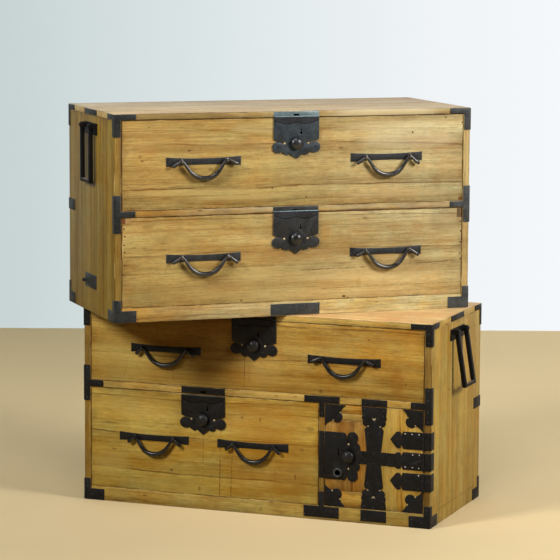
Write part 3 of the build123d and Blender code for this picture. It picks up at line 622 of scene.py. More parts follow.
drawers = ("top_drawer", "second_drawer", "wide_drawer", "small_drawer")
knot = (70, 42, 18)
crack = (74, 44, 20)
drip = (104, 58, 22)
stain = (176, 118, 40)
ringLine = (124, 90, 44)
boards = {
    "upper_top": {
        "tone": "upperRail", "skin": ("upperTop", 2, 1), "grain": "x", "edgeDarkening": 0.14,
        "marks": [
            (-362, 487.5, 22, 1.4, 0.85, crack), (-131, 487.6, 12, 1.5, 0.8, crack),
            (-275, 500, 14, 1.6, 0.6, knot), (-221, 501.5, 8, 1.2, 0.6, knot),
            (-135, 500.6, 16, 1.6, 0.6, knot), (377, 488.6, 20, 1.6, 0.8, crack),
            (340, 487.2, 34, 1.1, 0.7, crack), (60, 487, 60, 0.8, 0.6, crack),
            (-330, 492, 200, 22, 0.66, (120, 94, 48)), (-95, 492, 50, 22, 0.3, (140, 112, 62)),
            (235, 494, 170, 22, 0.5, (248, 232, 188)),
        ],
    },
    "upper_shelf": {
        "tone": "upperFoot", "sheenTowardsEnd": (-0.40, 0.06, (1.40, 2.1, 5.6)),
        "marks": [
            (350, 262, 110, 30, 0.4, (156, 128, 80)), (-420, 270, 20, 1.2, 0.6, crack),
            (-330, 269.6, 60, 0.9, 0.6, crack), (-245, 266, 8, 3.0, 0.5, knot),
        ],
    },
    "upper_bottom": {
        "tone": "upperFoot", "sheenTowardsEnd": (-0.38, 0.12, (1.46, 2.25, 5.2)), "edgeDarkening": 0.25,
        "marks": [
            (150, 31, 9, 2.2, 0.4, knot), (215, 24, 4, 2, 0.5, knot),
        ],
    },
    "upper_left_side": {"tone": "upperSide", "skin": ("upperStile", 1, -1), "grain": "side"},
    "upper_right_side": {"tone": "upperSide", "skin": ("upperRail", 1, -1), "grain": "side"},
    "upper_back": {"tone": "inner", "grain": "x"},
    "lower_top": {"tone": "lowerRail", "skin": ("lowerTop", 2, 1), "grain": "x", "edgeDarkening": 0.12},
    "lower_shelf": {
        "tone": "lowerRail",
        "marks": [
            (-400, 301, 60, 30, 0.36, (140, 106, 46)), (90, 301, 110, 30, 0.4, (240, 206, 118)),
            (-380, 309, 40, 1.0, 0.7, crack), (-210, 308.6, 60, 0.9, 0.7, crack),
            (60, 301, 5, 2.4, 0.5, knot), (110, 303, 5, 2, 0.5, knot),
        ],
    },
    "lower_bottom": {
        "tone": "lowerFoot",
        "marks": [
            (-294, 22, 8, 2.6, 0.55, knot), (48, 33.5, 9, 2.6, 0.5, knot), (20, 14, 3, 8, 0.35, drip),
        ],
    },
    "lower_left_side": {"tone": "side", "skin": ("lowerStile", 1, -1), "grain": "side"},
    "lower_right_side": {
        "tone": "side", "skin": ("lowerStile", 1, -1), "grain": "side", "plane": "side",
        "marks": [
            (-150, 250, 2.4, 3.4, 0.6, knot), (-60, 322, 9, 4, 0.5, (124, 74, 26)),
            (-52, 390, 2.2, 52, 0.35, (124, 80, 30)), (22, 312, 9, 6, 0.4, (132, 82, 30)),
            (56, 118, 7, 14, 0.35, (128, 84, 34)), (-20, 60, 4, 3, 0.6, knot), (110, 84, 3, 3, 0.6, knot),
            (-172, 60, 10, 20, 0.3, (150, 100, 44)), (150, 22, 4, 3, 0.5, knot),
        ],
        "lines": [
            (-150, 36, 200, 36, 1.4, 0.7, crack), (40, 150, 64, 108, 1.6, 0.5, (120, 76, 30)),
            (64, 108, 58, 84, 1.4, 0.45, (120, 76, 30)),
        ],
    },
    "lower_back": {"tone": "inner", "grain": "x"},
    "divider": {"tone": "lowerStile", "grain": "z"},
    "safe_shelf": {"tone": "inner"},
    "top_drawer_front": {
        "tone": "upperFront", "grain": "x", "sheenTowardsEnd": (-0.1, 0.30, (1.14, 1.36, 2.1)),
        "marks": [
            (-250, 420, 210, 20, 0.3, (150, 112, 56)), (-100, 462, 80, 14, 0.3, (234, 206, 142)),
            # the pale bluish mark at (300, 424) is painted sheen towards the right end
            (-130, 297, 160, 10, 0.35, (236, 206, 136)), (300, 424, 150, 24, 0.32, (238, 216, 174)),
            (280, 293, 170, 12, 0.32, (238, 210, 152)), (-373, 469, 3, 2.2, 0.7, knot),
            (-396, 399.7, 5.5, 5, 0.35, knot), (-391, 389, 4.5, 1.8, 0.75, knot),
            (-273, 411, 6, 2, 0.8, knot), (-61, 315, 3, 3, 0.7, knot), (-433, 299.5, 2.5, 2, 0.6, knot),
            (-245, 416.5, 3, 1.4, 0.5, knot), (306, 443.3, 3, 3, 0.95, knot),
            (394, 478.4, 3.5, 2.4, 0.8, knot), (439, 465.4, 2.6, 3, 0.9, knot),
            (27, 291.4, 3, 3, 0.7, knot), (436, 276, 7, 7, 0.8, (112, 62, 18)),
            (-200, 458, 34, 7, 0.3, stain), (-250, 311, 210, 9, 0.4, (226, 198, 126)),
            (250, 462, 170, 16, 0.35, (236, 214, 164)), (70, 330, 22, 60, 0.14, (150, 112, 56)),
            (374, 318, 12, 26, 0.22, (140, 112, 66)),
        ],
        "lines": [
            (-440, 275.6, -200, 273.4, 1.6, 0.55, crack), (70, 443, 84, 424, 0.7, 0.6, crack),
            (76, 445, 93, 424, 0.7, 0.5, crack), (341, 330, 341, 300, 1.0, 0.4, crack),
            (-437, 390, -331, 391, 1.3, 0.5, ringLine), (-437, 319, -300, 324, 1.5, 0.6, ringLine),
            (-300, 324, -60, 318, 1.5, 0.55, ringLine), (-437, 300, -120, 302, 1.2, 0.45, ringLine),
            (60, 333, 437, 326, 1.4, 0.5, ringLine), (90, 398, 300, 404, 1.2, 0.4, ringLine),
        ],
    },
    "second_drawer_front": {
        "tone": "upperFront", "grain": "x", "sheenTowardsEnd": (-0.2, 0.30, (1.1, 1.28, 1.9)),
        "marks": [
            (40, 72, 430, 44, 0.26, (238, 206, 136)), (400, 222, 62, 34, 0.42, (138, 110, 66)),
            (-100, 108, 60, 20, 0.3, (226, 194, 124)), (127.5, 42.3, 5, 3.4, 0.9, knot),
            (137.6, 37.8, 5, 2.4, 0.7, knot), (78, 205, 17, 28, 0.34, (182, 124, 44)),
            (166, 74, 9, 16, 0.26, (176, 122, 52)), (-377, 230, 18, 7, 0.42, (134, 96, 42)),
            (200, 92, 230, 11, 0.34, (230, 206, 148)), (-60, 215, 30, 40, 0.16, (176, 128, 60)),
            (-411, 181, 6, 1.8, 0.5, knot), (-414, 107.6, 12, 1.5, 0.5, knot),
            (-385, 178, 9, 1.4, 0.35, knot), (-140, 43, 3, 2.5, 0.8, knot),
        ],
        "lines": [
            (11, 111.4, 183, 113, 1.3, 0.85, crack), (183, 113, 300, 117, 1.0, 0.45, crack),
            (300, 117, 439, 121, 1.3, 0.85, crack), (392, 119, 425, 128, 1.2, 0.8, crack),
            (-437, 178, -330, 172, 1.4, 0.5, ringLine), (-437, 90, -80, 88, 1.3, 0.45, ringLine),
            (-330, 66, 60, 70, 1.2, 0.4, ringLine), (70, 64, 437, 66, 1.4, 0.5, ringLine),
            (80, 145, 437, 152, 1.2, 0.4, ringLine),
        ],
    },
    "wide_drawer_front": {
        "tone": "lowerFront", "grain": "x",
        "marks": [
            # painted shade: the broad orange mark at (-60, 415) warms the shadow under the upper case's
            # overhang
            (-60, 415, 150, 115, 0.24, (172, 98, 26)), (-350, 368, 110, 66, 0.36, (222, 194, 108)),
            (-70, 330, 380, 26, 0.3, (214, 172, 84)), (20, 365, 70, 40, 0.25, (222, 186, 102)),
            (372, 356, 22, 46, 0.3, (162, 92, 30)), (270, 350, 60, 14, 0.2, (220, 180, 96)),
            (300, 455, 4, 2.5, 0.6, knot), (395, 352, 3, 3, 0.5, knot),
            (176, 320, 6, 6, 0.55, (110, 66, 24)),
        ],
        "lines": [
            (-25.3, 397, -25, 319, 1.5, 0.75, drip), (-216.5, 357, -216.5, 322, 1.6, 0.4, drip),
            (-340, 372, -351, 320, 1.2, 0.35, crack), (-300, 335, -318, 352, 1.0, 0.3, crack),
            (-12, 372, -12, 330, 1.4, 0.3, drip),
        ],
    },
    "small_drawer_front": {
        "tone": "smallFront", "grain": "x",
        "marks": [
            (40, 120, 150, 110, 0.26, (186, 122, 36)), (-190, 60, 130, 26, 0.3, (222, 190, 92)),
            (20, 236, 150, 60, 0.42, (176, 112, 28)), (-300, 250, 150, 36, 0.3, (226, 192, 102)),
            (-390, 100, 60, 40, 0.3, (226, 186, 96)), (96, 96, 60, 60, 0.22, (150, 92, 28)),
            (-220.6, 93.2, 4.5, 4, 0.6, knot), (-145, 51.5, 4, 7, 0.45, knot),
            (-31, 240, 4, 4, 0.5, knot), (17, 238, 2.4, 7, 0.6, drip), (110, 101, 2.0, 9, 0.75, drip),
            (150, 225, 12, 7, 0.35, knot), (128, 170, 7, 6, 0.35, drip), (-390, 203, 30, 3, 0.3, crack),
        ],
        "lines": [
            (-87.8, 205, -90.7, 40, 1.7, 0.8, drip), (-56.6, 158, -60.6, 38, 1.9, 0.75, drip),
            (-134.7, 192, -134.6, 120, 1.4, 0.5, drip), (-134.6, 120, -135, 60, 1.2, 0.25, drip),
            (-60, 120, 130, 124, 1.2, 0.3, crack), (56, 120, 57, 60, 1.3, 0.3, drip),
        ],
    },
}
for nodeName, setting in boards.items():
    dressBoard(nodeName, **setting)
for name in drawers:
    dressBoard(name + "_box", "inner", edge=0.0006)
print("boards made")

# the safe's door: brown boards between two battens, a paler strip under the upper one, and one
# golden board on the right, behind the middle strap
door = {
    "parts": [("batten", "x", 0.0, 0.315, 0.2690, 0.30), ("strip", "x", 0.0, 0.315, 0.2515, 0.2690),
              ("doorBrown", "z", 0.0, 0.315, 0.0765, 0.2515), ("batten", "x", 0.0, 0.315, 0.0, 0.0765),
              ("doorGold", "z", 0.315, 0.5, 0.0, 0.30)],
    "edge": 0.0007,
}


def makeDoorPanel():
    whole = bmesh.new()
    materials = []
    box = ownBox("door_panel")
    for number, (tone, grain, left, right, bottom, top) in enumerate(door["parts"]):
        bm = mergedCopy("door_panel")
        cuts = [((0, 0, bottom), (0, 0, -1)), ((0, 0, top), (0, 0, 1)),
                ((left, 0, 0), (-1, 0, 0)), ((right, 0, 0), (1, 0, 0))]
        for point, normal in cuts:
            geom = bm.verts[:] + bm.edges[:] + bm.faces[:]
            cut = bmesh.ops.bisect_plane(bm, geom=geom, plane_co=point, plane_no=normal, clear_outer=True)
            rim = [e for e in cut["geom_cut"] if isinstance(e, bmesh.types.BMEdge)]
            if rim:
                bmesh.ops.triangle_fill(bm, edges=rim, use_beauty=True, use_dissolve=True)
        turnOutward(bm)
        markShading(bm)
        easeEdges(bm, door["edge"])
        low = Vector((max(box[0].x, left), box[0].y, max(box[0].z, bottom)))
        high = Vector((min(box[1].x, right), box[1].y, min(box[1].z, top)))
        materials.append(woodFinish("doorWood%d" % number, "lower", tone, grain, (low, high),
                                    40 + number * 1.3, edgeDarkening=0.5, rim=0.35))
        setFaces(bm.faces, material_index=number)
        part = bpy.data.meshes.new("doorPart%d" % number)
        bm.to_mesh(part)
        bm.free()
        whole.from_mesh(part)
        bpy.data.meshes.remove(part)
    finishPiece("door_panel_finished", whole, materials, bodyOf("door_panel"),
                ["door_panel"])


makeDoorPanel()
print("door made")

# locks: place of each in its case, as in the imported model
lock = {
    "halfWidth": 0.0585,
    "proud": 0.0035,
    "knobDrop": 0.062,
    "chamfer": 0.0017,       # bright upper edge: worn iron and a painted highlight
    "hoodReach": 0.0465,     # half width of the hood's two curves
    "hoodDrop": 0.0138,      # cusp below the upper edge
    "hoodSag": 0.0046,
    "hoodThick": 0.0005,
    "hoodMargin": 0.001,     # plate left bare at each end
    "hoodTop": 0.0004,       # hood's upper edge, below the chamfer
    "hoodTail": 0.35,        # rise of its ends beyond the curves, to their run
    "hoodCells": 48,
    "shadeDrop": 0.0012,     # painted shadow line below the hood
    "shadeThick": 0.0002,
    "knobSwell": 1.17,
    "knobTravel": 0.006,
    "knobNeck": 0.001,       # from the skirt's end to the swell
    "rivets": [(0.0495, -0.0205), (-0.0495, -0.0205), (0.0505, -0.070), (-0.0505, -0.070), (0.024, -0.0785)],
    "rivet": 0.0015,
    "pegAcross": 0.0305,
    "peg": 0.0027,
    "keyhole": (0.005, -0.048, 0.019, -0.0245),
    "bedHalf": 0.0074,       # half width of the bolt's notch, whose shade a dark sheet paints
    "eyeSize": (0.0075, 0.016),        # packed handle eyes are smaller than this
    "handlePlate": 0.15,     # and handle plates longer than this
    "onEdge": 0.0002,
}
doorLock = {
    "ringAt": (-0.0415, -0.035),
    "ringRadius": 0.0092,
    "ringWire": 0.0027,
    "ringOut": 0.0036,
    # radius of the dark disc of painted shade behind the ring
    "ground": 0.0085,
    "keySlot": (0.2234, 0.1690, 0.2256, 0.1830),       # in the case's own place, upright
    "keyRound": (0.2248, 0.1688),
    "keyRadius": 0.0026,
}
locks = {
    "top_drawer": {"x": 0.0, "z": 0.4855, "rise": 0.0045, "case": "upper", "bed": (0.488, 0.495)},
    "second_drawer": {"x": 0.0, "z": 0.2525, "rise": 0.0065, "case": "upper", "bed": (0.255, 0.262)},
    "wide_drawer": {"x": 0.0, "z": 0.4855, "rise": 0.0045, "case": "lower", "bed": (0.488, 0.495)},
    "small_drawer": {"x": -0.135, "z": 0.2905, "rise": -0.001, "case": "lower", "bed": (0.293, 0.300)},
    "door": {"x": 0.1885, "z": 0.164, "rise": -0.001, "case": "lower", "bed": None},
}


def lockPlace(name):
    # (x, y, z) about the middle of the plate's bolt edge, y = 0 on the board's face
    setting = locks[name]
    turned = Matrix.Rotation(radians(-90), 4, "Y") if name == "door" else Matrix.Identity(4)
    return places[setting["case"]] @ Matrix.Translation((setting["x"], front, setting["z"])) @ turned


def trimPlate(name):
    back = lockPlace(name).inverted()
    top = locks[name]["rise"]

    def shape(bm):
        eyes = []
        for part in looseParts(bm):
            low, high = boxOf([back @ v.co for face in part for v in face.verts])
            size = high - low
            if size.x < lock["eyeSize"][0] and size.z < lock["eyeSize"][1]:
                eyes += [v for face in part for v in face.verts]       # forged anew below
            elif size.x > lock["handlePlate"]:
                setFaces(part, material_index=dullSlot)
        if eyes and name != "door":
            bmesh.ops.delete(bm, geom=list(dict.fromkeys(eyes)), context="VERTS")
        edge = []
        for e in bm.edges:
            ends = [back @ v.co for v in e.verts]
            if all(max(abs(p.z - top), abs(p.y + lock["proud"])) < lock["onEdge"] for p in ends):
                edge.append(e)
        # the chamfer takes the pale strike finish, a painted highlight on worn iron
        if edge:
            setFaces(easeEdges(bm, lock["chamfer"], 3, edge), material_index=wornGlintSlot)
        if name == "door":       # its keyhole stands upright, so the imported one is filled
            hole = [v for v in bm.verts if inKeyhole(back @ v.co)]
            walls = [f for f in bm.faces if all(v in hole for v in f.verts)]
            bmesh.ops.delete(bm, geom=walls, context="FACES")
            rim = [e for e in bm.edges if e.is_boundary]
            bmesh.ops.holes_fill(bm, edges=rim, sides=0)
            turnOutward(bm)
    return shape


def inKeyhole(point):
    return abs(point.x - 0.012) < 0.006 and -0.043 < point.z < -0.0245


def widerKnob(name):
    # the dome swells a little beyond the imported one, and stays in front of the plate when pushed
    place = lockPlace(name) @ Matrix.Translation((0, 0, -lock["knobDrop"]))
    back = place.inverted()
    grown = place @ Matrix.Diagonal((lock["knobSwell"], 1, lock["knobSwell"], 1)) @ back
    neck = lock["proud"] + lock["knobTravel"] + lock["knobNeck"]

    def shape(bm):
        dome = [v for v in bm.verts if (back @ v.co).y < -neck]
        bmesh.ops.transform(bm, matrix=grown, verts=dome)
        markShading(bm)
    return shape


def nailHead(bm, point, normal, radius, flat=0.5, sides=8):
    turn = Vector((0, 0, 1)).rotation_difference(normal).to_matrix().to_4x4()
    place = Matrix.Translation(point) @ turn @ Matrix.Diagonal((1, 1, flat, 1))
    made = bmesh.ops.create_uvsphere(bm, u_segments=sides, v_segments=6, radius=radius, matrix=place)
    setFaces({f for v in made["verts"] for f in v.link_faces}, smooth=True)


def smallPlate(bm, low, high, edge):
    size = high - low
    place = Matrix.Translation((low + high) / 2) @ Matrix.Diagonal((*size, 1))
    made = bmesh.ops.create_cube(bm, size=1.0, matrix=place)
    easeEdges(bm, edge, 1, edgesOf(made["verts"]))


def makeHood(name, word, thick, extra, finish):
    # thin sheet over the plate's upper part, cut to two hanging curves
    top, y = locks[name]["rise"], -lock["proud"]
    bm = bmesh.new()
    half = lock["halfWidth"] - lock["hoodMargin"]
    bmesh.ops.create_grid(bm, x_segments=lock["hoodCells"], y_segments=1, size=1.0,
                          matrix=Matrix.Diagonal((half, 1, 1, 1)))
    for v in bm.verts:
        if v.co.y > 0:
            drop = lock["chamfer"] + lock["hoodTop"]
        else:
            share = min(1.0, abs(v.co.x) / lock["hoodReach"])
            drop = lock["hoodDrop"] + lock["hoodSag"] * sin(pi * share) + extra
            drop -= max(0.0, abs(v.co.x) - lock["hoodReach"]) * lock["hoodTail"]
        v.co = Vector((v.co.x, y - thick, top - drop))
    turnOutward(bm)
    bmesh.ops.solidify(bm, geom=bm.faces[:], thickness=thick)
    turnOutward(bm)
    moveAll(bm, lockPlace(name))
    finishPiece(name + "_lock_" + word, bm, finish, name)


def disc(bm, segments, radius, matrix):
    bmesh.ops.create_circle(bm, segments=segments, radius=radius, cap_ends=True,
                            matrix=matrix @ Matrix.Rotation(pi / 2, 4, "X"))


def makeLockRing(body):
    # raised ring with a rubbed rim
    x, z = doorLock["ringAt"]
    place, y = lockPlace("door"), -lock["proud"]
    bm = bmesh.new()
    start = Matrix.Translation((x + doorLock["ringRadius"], y - doorLock["ringOut"], z))
    wire = bmesh.ops.create_circle(bm, segments=10, radius=doorLock["ringWire"], matrix=place @ start)
    bmesh.ops.spin(bm, geom=edgesOf(wire["verts"]), cent=place @ Vector((x, y, z)), axis=(0, 1, 0),
                   angle=2 * pi, steps=32, use_merge=True)
    bmesh.ops.remove_doubles(bm, verts=bm.verts, dist=1e-6)
    turnOutward(bm)
    finishPiece("door_lock_ring", bm, irons["ring"], body, sharp=roundSharp)


def makeLockDetail(name):
    setting = locks[name]
    place = lockPlace(name)
    y = -lock["proud"]
    body = name if name != "door" else bodyOf("door_panel")
    normal = place.to_3x3() @ Vector((0, -1, 0))
    if name != "door":
        # a near-black sheet just below the hood's edge paints its shadow line
        makeHood(name, "hood_shade", lock["shadeThick"], lock["shadeDrop"], irons["paintedShade"])
        makeHood(name, "hood", lock["hoodThick"], 0.0, irons[setting["case"] + "Hood"])
    bm = bmesh.new()
    for x, z in lock["rivets"]:
        nailHead(bm, place @ Vector((x, y, z)), normal, lock["rivet"], 0.45)
    finishPiece(name + "_lock_rivets", bm, irons["nail"], body)
    bm = bmesh.new()       # pale pegs in the two small holes
    for side in (-1, 1):
        at = place @ Vector((side * lock["pegAcross"], y * 0.8, -lock["knobDrop"]))
        nailHead(bm, at, normal, lock["peg"], 0.3, 14)
    finishPiece(name + "_lock_hole_pegs", bm, palePeg, body)
    # painted shade: near-black sheets behind the keyhole; on the door, behind the ring, and the keyhole
    # itself as a dark inlay
    bm = bmesh.new()
    if name == "door":
        ringX, ringZ = doorLock["ringAt"]
        disc(bm, 24, doorLock["ground"], Matrix.Translation(place @ Vector((ringX, y * 0.2, ringZ))))
        x0, z0, x1, z1 = doorLock["keySlot"]
        keyX, keyZ = doorLock["keyRound"]
        keyY = front - lock["proud"] - 0.0002
        smallPlate(bm, Vector((x0, keyY, z0)), Vector((x1, keyY + 0.0004, z1)), 0.0001)
        disc(bm, 16, doorLock["keyRadius"], Matrix.Translation((keyX, keyY - 0.0001, keyZ)))
    else:
        x0, z0, x1, z1 = lock["keyhole"]
        smallPlate(bm, Vector((x0, y * 0.86, z0)), Vector((x1, y * 0.4, z1)), 0.00005)
        moveAll(bm, place)
    turnOutward(bm)
    finishPiece(name + "_keyhole_shade", bm, irons["paintedShade"], body)
    if name == "door":
        makeLockRing(body)
    # painted shade: a near-black sheet in the bolt's notch
    if setting["bed"]:
        low, high = setting["bed"]
        bm = bmesh.new()
        smallPlate(bm, Vector((setting["x"] - lock["bedHalf"], front - 0.0006, low)),
                   Vector((setting["x"] + lock["bedHalf"], front + 0.0002, high - 0.0001)), 0.0001)
        moveAll(bm, places[setting["case"]])
        finishPiece(name + "_notch_shade", bm, irons["paintedShade"], setting["case"] + "_case")


wholeCase = (Vector((-1, -1, -1)), Vector((1, 1, 1)))       # so wide that small pegs get no dark edges
palePeg = woodFinish("palePegWood", "lower", "palePeg", "x", wholeCase, 77)
for name, setting in locks.items():
    plateNode = "door_lock_plate" if name == "door" else name + "_irons"
    kind = "Dull" if name == "second_drawer" else "Sheet"
    dressIron(plateNode, sheetOf(setting["case"], kind), 0.0004, 2, trimPlate(name))
    dressIron(name + "_bolt", irons["bolt"], 0.0005)
    dressIron(name + "_knob", irons[setting["case"] + "Knob"], 0.0007, 3, widerKnob(name))
    makeLockDetail(name)
print("locks made")


def paleStrike(bm):
    # the strike in the middle of the top board is painted bright: worn iron and a painted reflection
    back = places["upper"].inverted()
    for part in looseParts(bm):
        low, high = boxOf([back @ v.co for face in part for v in face.verts])
        if abs(low.x + high.x) < 0.02 and low.z > 0.48:
            setFaces(part, material_index=wornGlintSlot)


for case in ("upper", "lower"):
    sheets = sheetOf(case, "Corner" if case == "upper" else "Sheet")
    dressIron(case + "_corner_irons", sheets)
    dressIron(case + "_edge_irons", sheets, shape=paleStrike if case == "upper" else None)
    dressIron(case + "_loop_brackets", irons["loop"])
for part in ("door_irons", "door_hinge_straps", "case_hinge_leaves"):
    dressIron(part, sheetOf("lower"))
dressIron("door_hinge_pins", irons["bolt"], 0.0003)

# tail of the cross strap, laid over the middle hinge leaf
strapTail = {
    "low": (0.3495, front - 0.0030, 0.1482),
    "high": (0.3700, front - 0.0012, 0.1800),
    "edge": 0.0004,
}
bm = bmesh.new()
smallPlate(bm, Vector(strapTail["low"]), Vector(strapTail["high"]), strapTail["edge"])
finishPiece("door_strap_tail", bm, irons["lowerSheet"], bodyOf("door_irons"))

# carrying loops: flat bars with square corners, hung on the brackets' pins
loop = {
    "bar": 0.0128,           # across the leg, along the case
    "thick": 0.0100,
    "foot": 0.0078,          # height of the lower bar
    "halfSpan": 0.037,
    "length": 0.1385,
    "eye": 0.0074,
    "axisOut": 0.012,
    "axisDrop": 0.041,
    "swung": {"lower_right_loop": -9},
}


def makeLoop(nodeName):
    case = caseOf(nodeName)
    side = 1 if "right" in nodeName else -1
    reach, wide = loop["halfSpan"], loop["bar"] / 2
    bottom = -loop["length"]
    bm = bmesh.new()
    start = Matrix.Translation((0, -reach, bottom + loop["foot"] / 2)) @ Matrix.Diagonal(
        (loop["thick"], loop["bar"], loop["foot"], 1))
    bmesh.ops.create_cube(bm, size=1.0, matrix=start)

    def pull(direction, distance, near):
        # the face that looks one way, nearest to a point, drawn out by a distance
        faces = [f for f in bm.faces if f.normal.dot(direction) > 0.99]
        face = min(faces, key=lambda f: (f.calc_center_median() - near).length)
        grown = bmesh.ops.extrude_discrete_faces(bm, faces=[face])["faces"]
        bmesh.ops.translate(bm, vec=direction * distance, verts=grown[0].verts)

    up, along = Vector((0, 0, 1)), Vector((0, 1, 0))
    pull(along, 2 * reach - 2 * wide, Vector((0, -reach, bottom)))
    pull(along, 2 * wide, Vector((0, reach, bottom)))
    bm.normal_update()
    rise = -bottom - loop["foot"]
    pull(up, rise, Vector((0, -reach, bottom)))
    pull(up, rise, Vector((0, reach, bottom)))
    bm.normal_update()
    worn = [f for f in bm.faces if f.normal.z > 0.99 and f.calc_center_median().z < bottom * 0.8]
    setFaces(worn, material_index=1)
    easeEdges(bm, 0.0007, 2)
    for leg in (-1, 1):
        turn = Matrix.Translation((0, leg * reach, 0)) @ Matrix.Rotation(pi / 2, 4, "X")
        eye = bmesh.ops.create_cone(bm, cap_ends=True, segments=24, radius1=loop["eye"], radius2=loop["eye"],
                                    depth=loop["bar"], matrix=turn)
        rims = [e for e in edgesOf(eye["verts"]) if e.calc_face_angle(0) > 1]
        easeEdges(bm, 0.0007, 2, rims)
    swung = Matrix.Rotation(radians(loop["swung"].get(nodeName, 0)), 4, "Y")
    axis = Matrix.Translation((side * (halfWidth + loop["axisOut"]), 0, chest["height"] - loop["axisDrop"]))
    moveAll(bm, places[case] @ axis @ swung)
    finishPiece(nodeName + "_forged", bm, [irons["loop"], irons["loopWorn"]], nodeName,
                [nodeName])


for case in ("upper", "lower"):
    for side in ("_left_loop", "_right_loop"):
        makeLoop(case + side)
print("irons made")

# bails, forged round: thick in the bow, thin where they bend over the eyes, swelling to the leaf ends
bail = {
    "path": [(0, -43.4), (13, -41.8), (25.5, -36.6), (35, -28.6), (42, -19.4), (48, -10.6), (53.5, -3.2),
             (57.5, 0.0), (61.5, -1.2), (66.0, -4.6), (71.0, -8.8), (76.0, -12.4), (79.5, -14.6)],
    "radius": [6.2, 6.1, 5.8, 5.1, 4.5, 4.0, 3.4, 3.1, 3.2, 3.8, 4.5, 4.8, 4.4],
    "flatten": 0.86,         # depth of the section to its height
    "sides": 14,
    "steps": 4,
    "eyeRing": 4.6,
    "eyeWire": 1.6,
    "eyeSquash": 0.95,
    "shank": (1.2, 1.3, 1.5),          # thickness along it, to the eye's wire
    "shankStart": 0.8,       # where it leaves the ring, to the ring's radius
    "follow": 0.5,           # share of an eye's rise or drop that its ring takes up
}
hangs = {       # left eye, right eye, bottom of the bow, left and right leaf ends, about the joint's middle
    "top_drawer_left_bail": ((-57.5, -1.5), (57, 2.2), (2, -43.5), (-80, -14), (83, -10)),
    "top_drawer_right_bail": ((-56.5, -3.0), (59, -2.6), (2, -46.8), (-79, -16.5), (82, -20)),
    "second_drawer_left_bail": ((-56.5, 0), (60, -0.5), (2, -42.5), (-79, -12.5), (83, -16)),
    "second_drawer_right_bail": ((-56, 0), (60, 0), (3, -43), (-78, -12), (83, -14)),
    "wide_drawer_left_bail": ((-59, -2.2), (59, -1), (0, -42.5), (-76, -16.5), (78, -14)),
    "wide_drawer_right_bail": ((-59, 1.4), (56.5, 1.4), (-1, -41), (-82, -8), (77, -7)),
    "small_drawer_left_bail": ((-47.5, -3.0), (56, -2.4), (1, -42.5), (-66, -15), (74, -16)),
    "small_drawer_right_bail": ((-50, -3.0), (58, -2.8), (4, -43), (-68, -15), (74, -16)),
}


def hungPath(nodeName):
    # the path drawn from leaf end to leaf end through this bail's own five points
    leftEye, rightEye, bottom, leftLeaf, rightLeaf = (Vector(point) for point in hangs[nodeName])
    points = []
    path = bail["path"]
    peak = max(range(len(path)), key=lambda i: path[i][1])
    eyeX, eyeZ = path[peak]
    for eye, leaf, sign in ((leftEye, leftLeaf, -1), (rightEye, rightLeaf, 1)):
        half = []
        for number, ((x, z), radius) in enumerate(zip(path, bail["radius"])):
            if number <= peak:
                share, height = x / eyeX, (z - path[0][1]) / (eyeZ - path[0][1])
                here = (bottom.x + (eye.x - bottom.x) * share, bottom.y + (eye.y - bottom.y) * height)
            else:
                share, height = (x - eyeX) / (path[-1][0] - eyeX), (z - eyeZ) / (path[-1][1] - eyeZ)
                here = (eye.x + (leaf.x - eye.x) * share, eye.y + (leaf.y - eye.y) * height)
            half.append((*here, radius))
        points = list(reversed(half[1:])) if sign < 0 else points + half
    return points, (leftEye, rightEye)


def smoothPath(points, steps):
    out = []
    last = len(points) - 1
    for i in range(last):
        p0, p1, p2, p3 = (Vector(points[max(0, min(last, i + k))]) for k in (-1, 0, 1, 2))
        for s in range(steps):
            t = s / steps
            out.append(0.5 * ((2 * p1) + (p2 - p0) * t + (2 * p0 - 5 * p1 + 4 * p2 - p3) * t * t
                              + (3 * p1 - p0 - 3 * p2 + p3) * t ** 3))
    out.append(Vector(points[-1]))
    return out


def forgeBar(bm, path, radii, sides, flatten=1.0):
    # a ring drawn along the path, with its own radius at each point
    count = len(path)
    turn = None
    for i, (point, radius) in enumerate(zip(path, radii)):
        tangent = (path[min(i + 1, count - 1)] - path[max(i - 1, 0)]).normalized()
        if turn is None:
            turn = Vector((0, 0, 1)).rotation_difference(tangent).to_matrix().to_4x4()
        else:
            turn = lastTangent.rotation_difference(tangent).to_matrix().to_4x4() @ turn
        here = (Matrix.Translation(point) @ Matrix.Diagonal((1, flatten, 1, 1))
                @ turn @ Matrix.Diagonal((radius, radius, radius, 1)))
        if i == 0:
            made = bmesh.ops.create_circle(bm, segments=sides, radius=1.0, cap_ends=True, matrix=here)
            members = set(made["verts"])
            ring = [e for e in bm.edges if members.issuperset(e.verts)]
        else:
            grown = bmesh.ops.extrude_edge_only(bm, edges=ring)["geom"]
            members = {v for v in grown if isinstance(v, bmesh.types.BMVert)}
            bmesh.ops.transform(bm, matrix=here @ before.inverted(), verts=list(members))
            ring = [e for e in grown if isinstance(e, bmesh.types.BMEdge) and members.issuperset(e.verts)]
        before, lastTangent = here, tangent
    bmesh.ops.contextual_create(bm, geom=ring)


def domeEnds(path, radii):
    path, radii = list(path), list(radii)
    for first in (True, False):
        index, inward = (0, 1) if first else (-1, -2)
        step = (path[index] - path[inward]).normalized()
        base, radius = path[index], radii[index]
        for reach, share in ((0.30, 0.90), (0.48, 0.66), (0.54, 0.3)):
            if first:
                path.insert(0, base + step * radius * reach)
                radii.insert(0, radius * share)
            else:
                path.append(base + step * radius * reach)
                radii.append(radius * share)
    return path, radii


def finishForged(bm, name, place, material, body, replaced=()):
    turnOutward(bm)
    setFaces(bm.faces, smooth=True)
    moveAll(bm, place)
    finishPiece(name, bm, material, body, replaced, roundSharp)


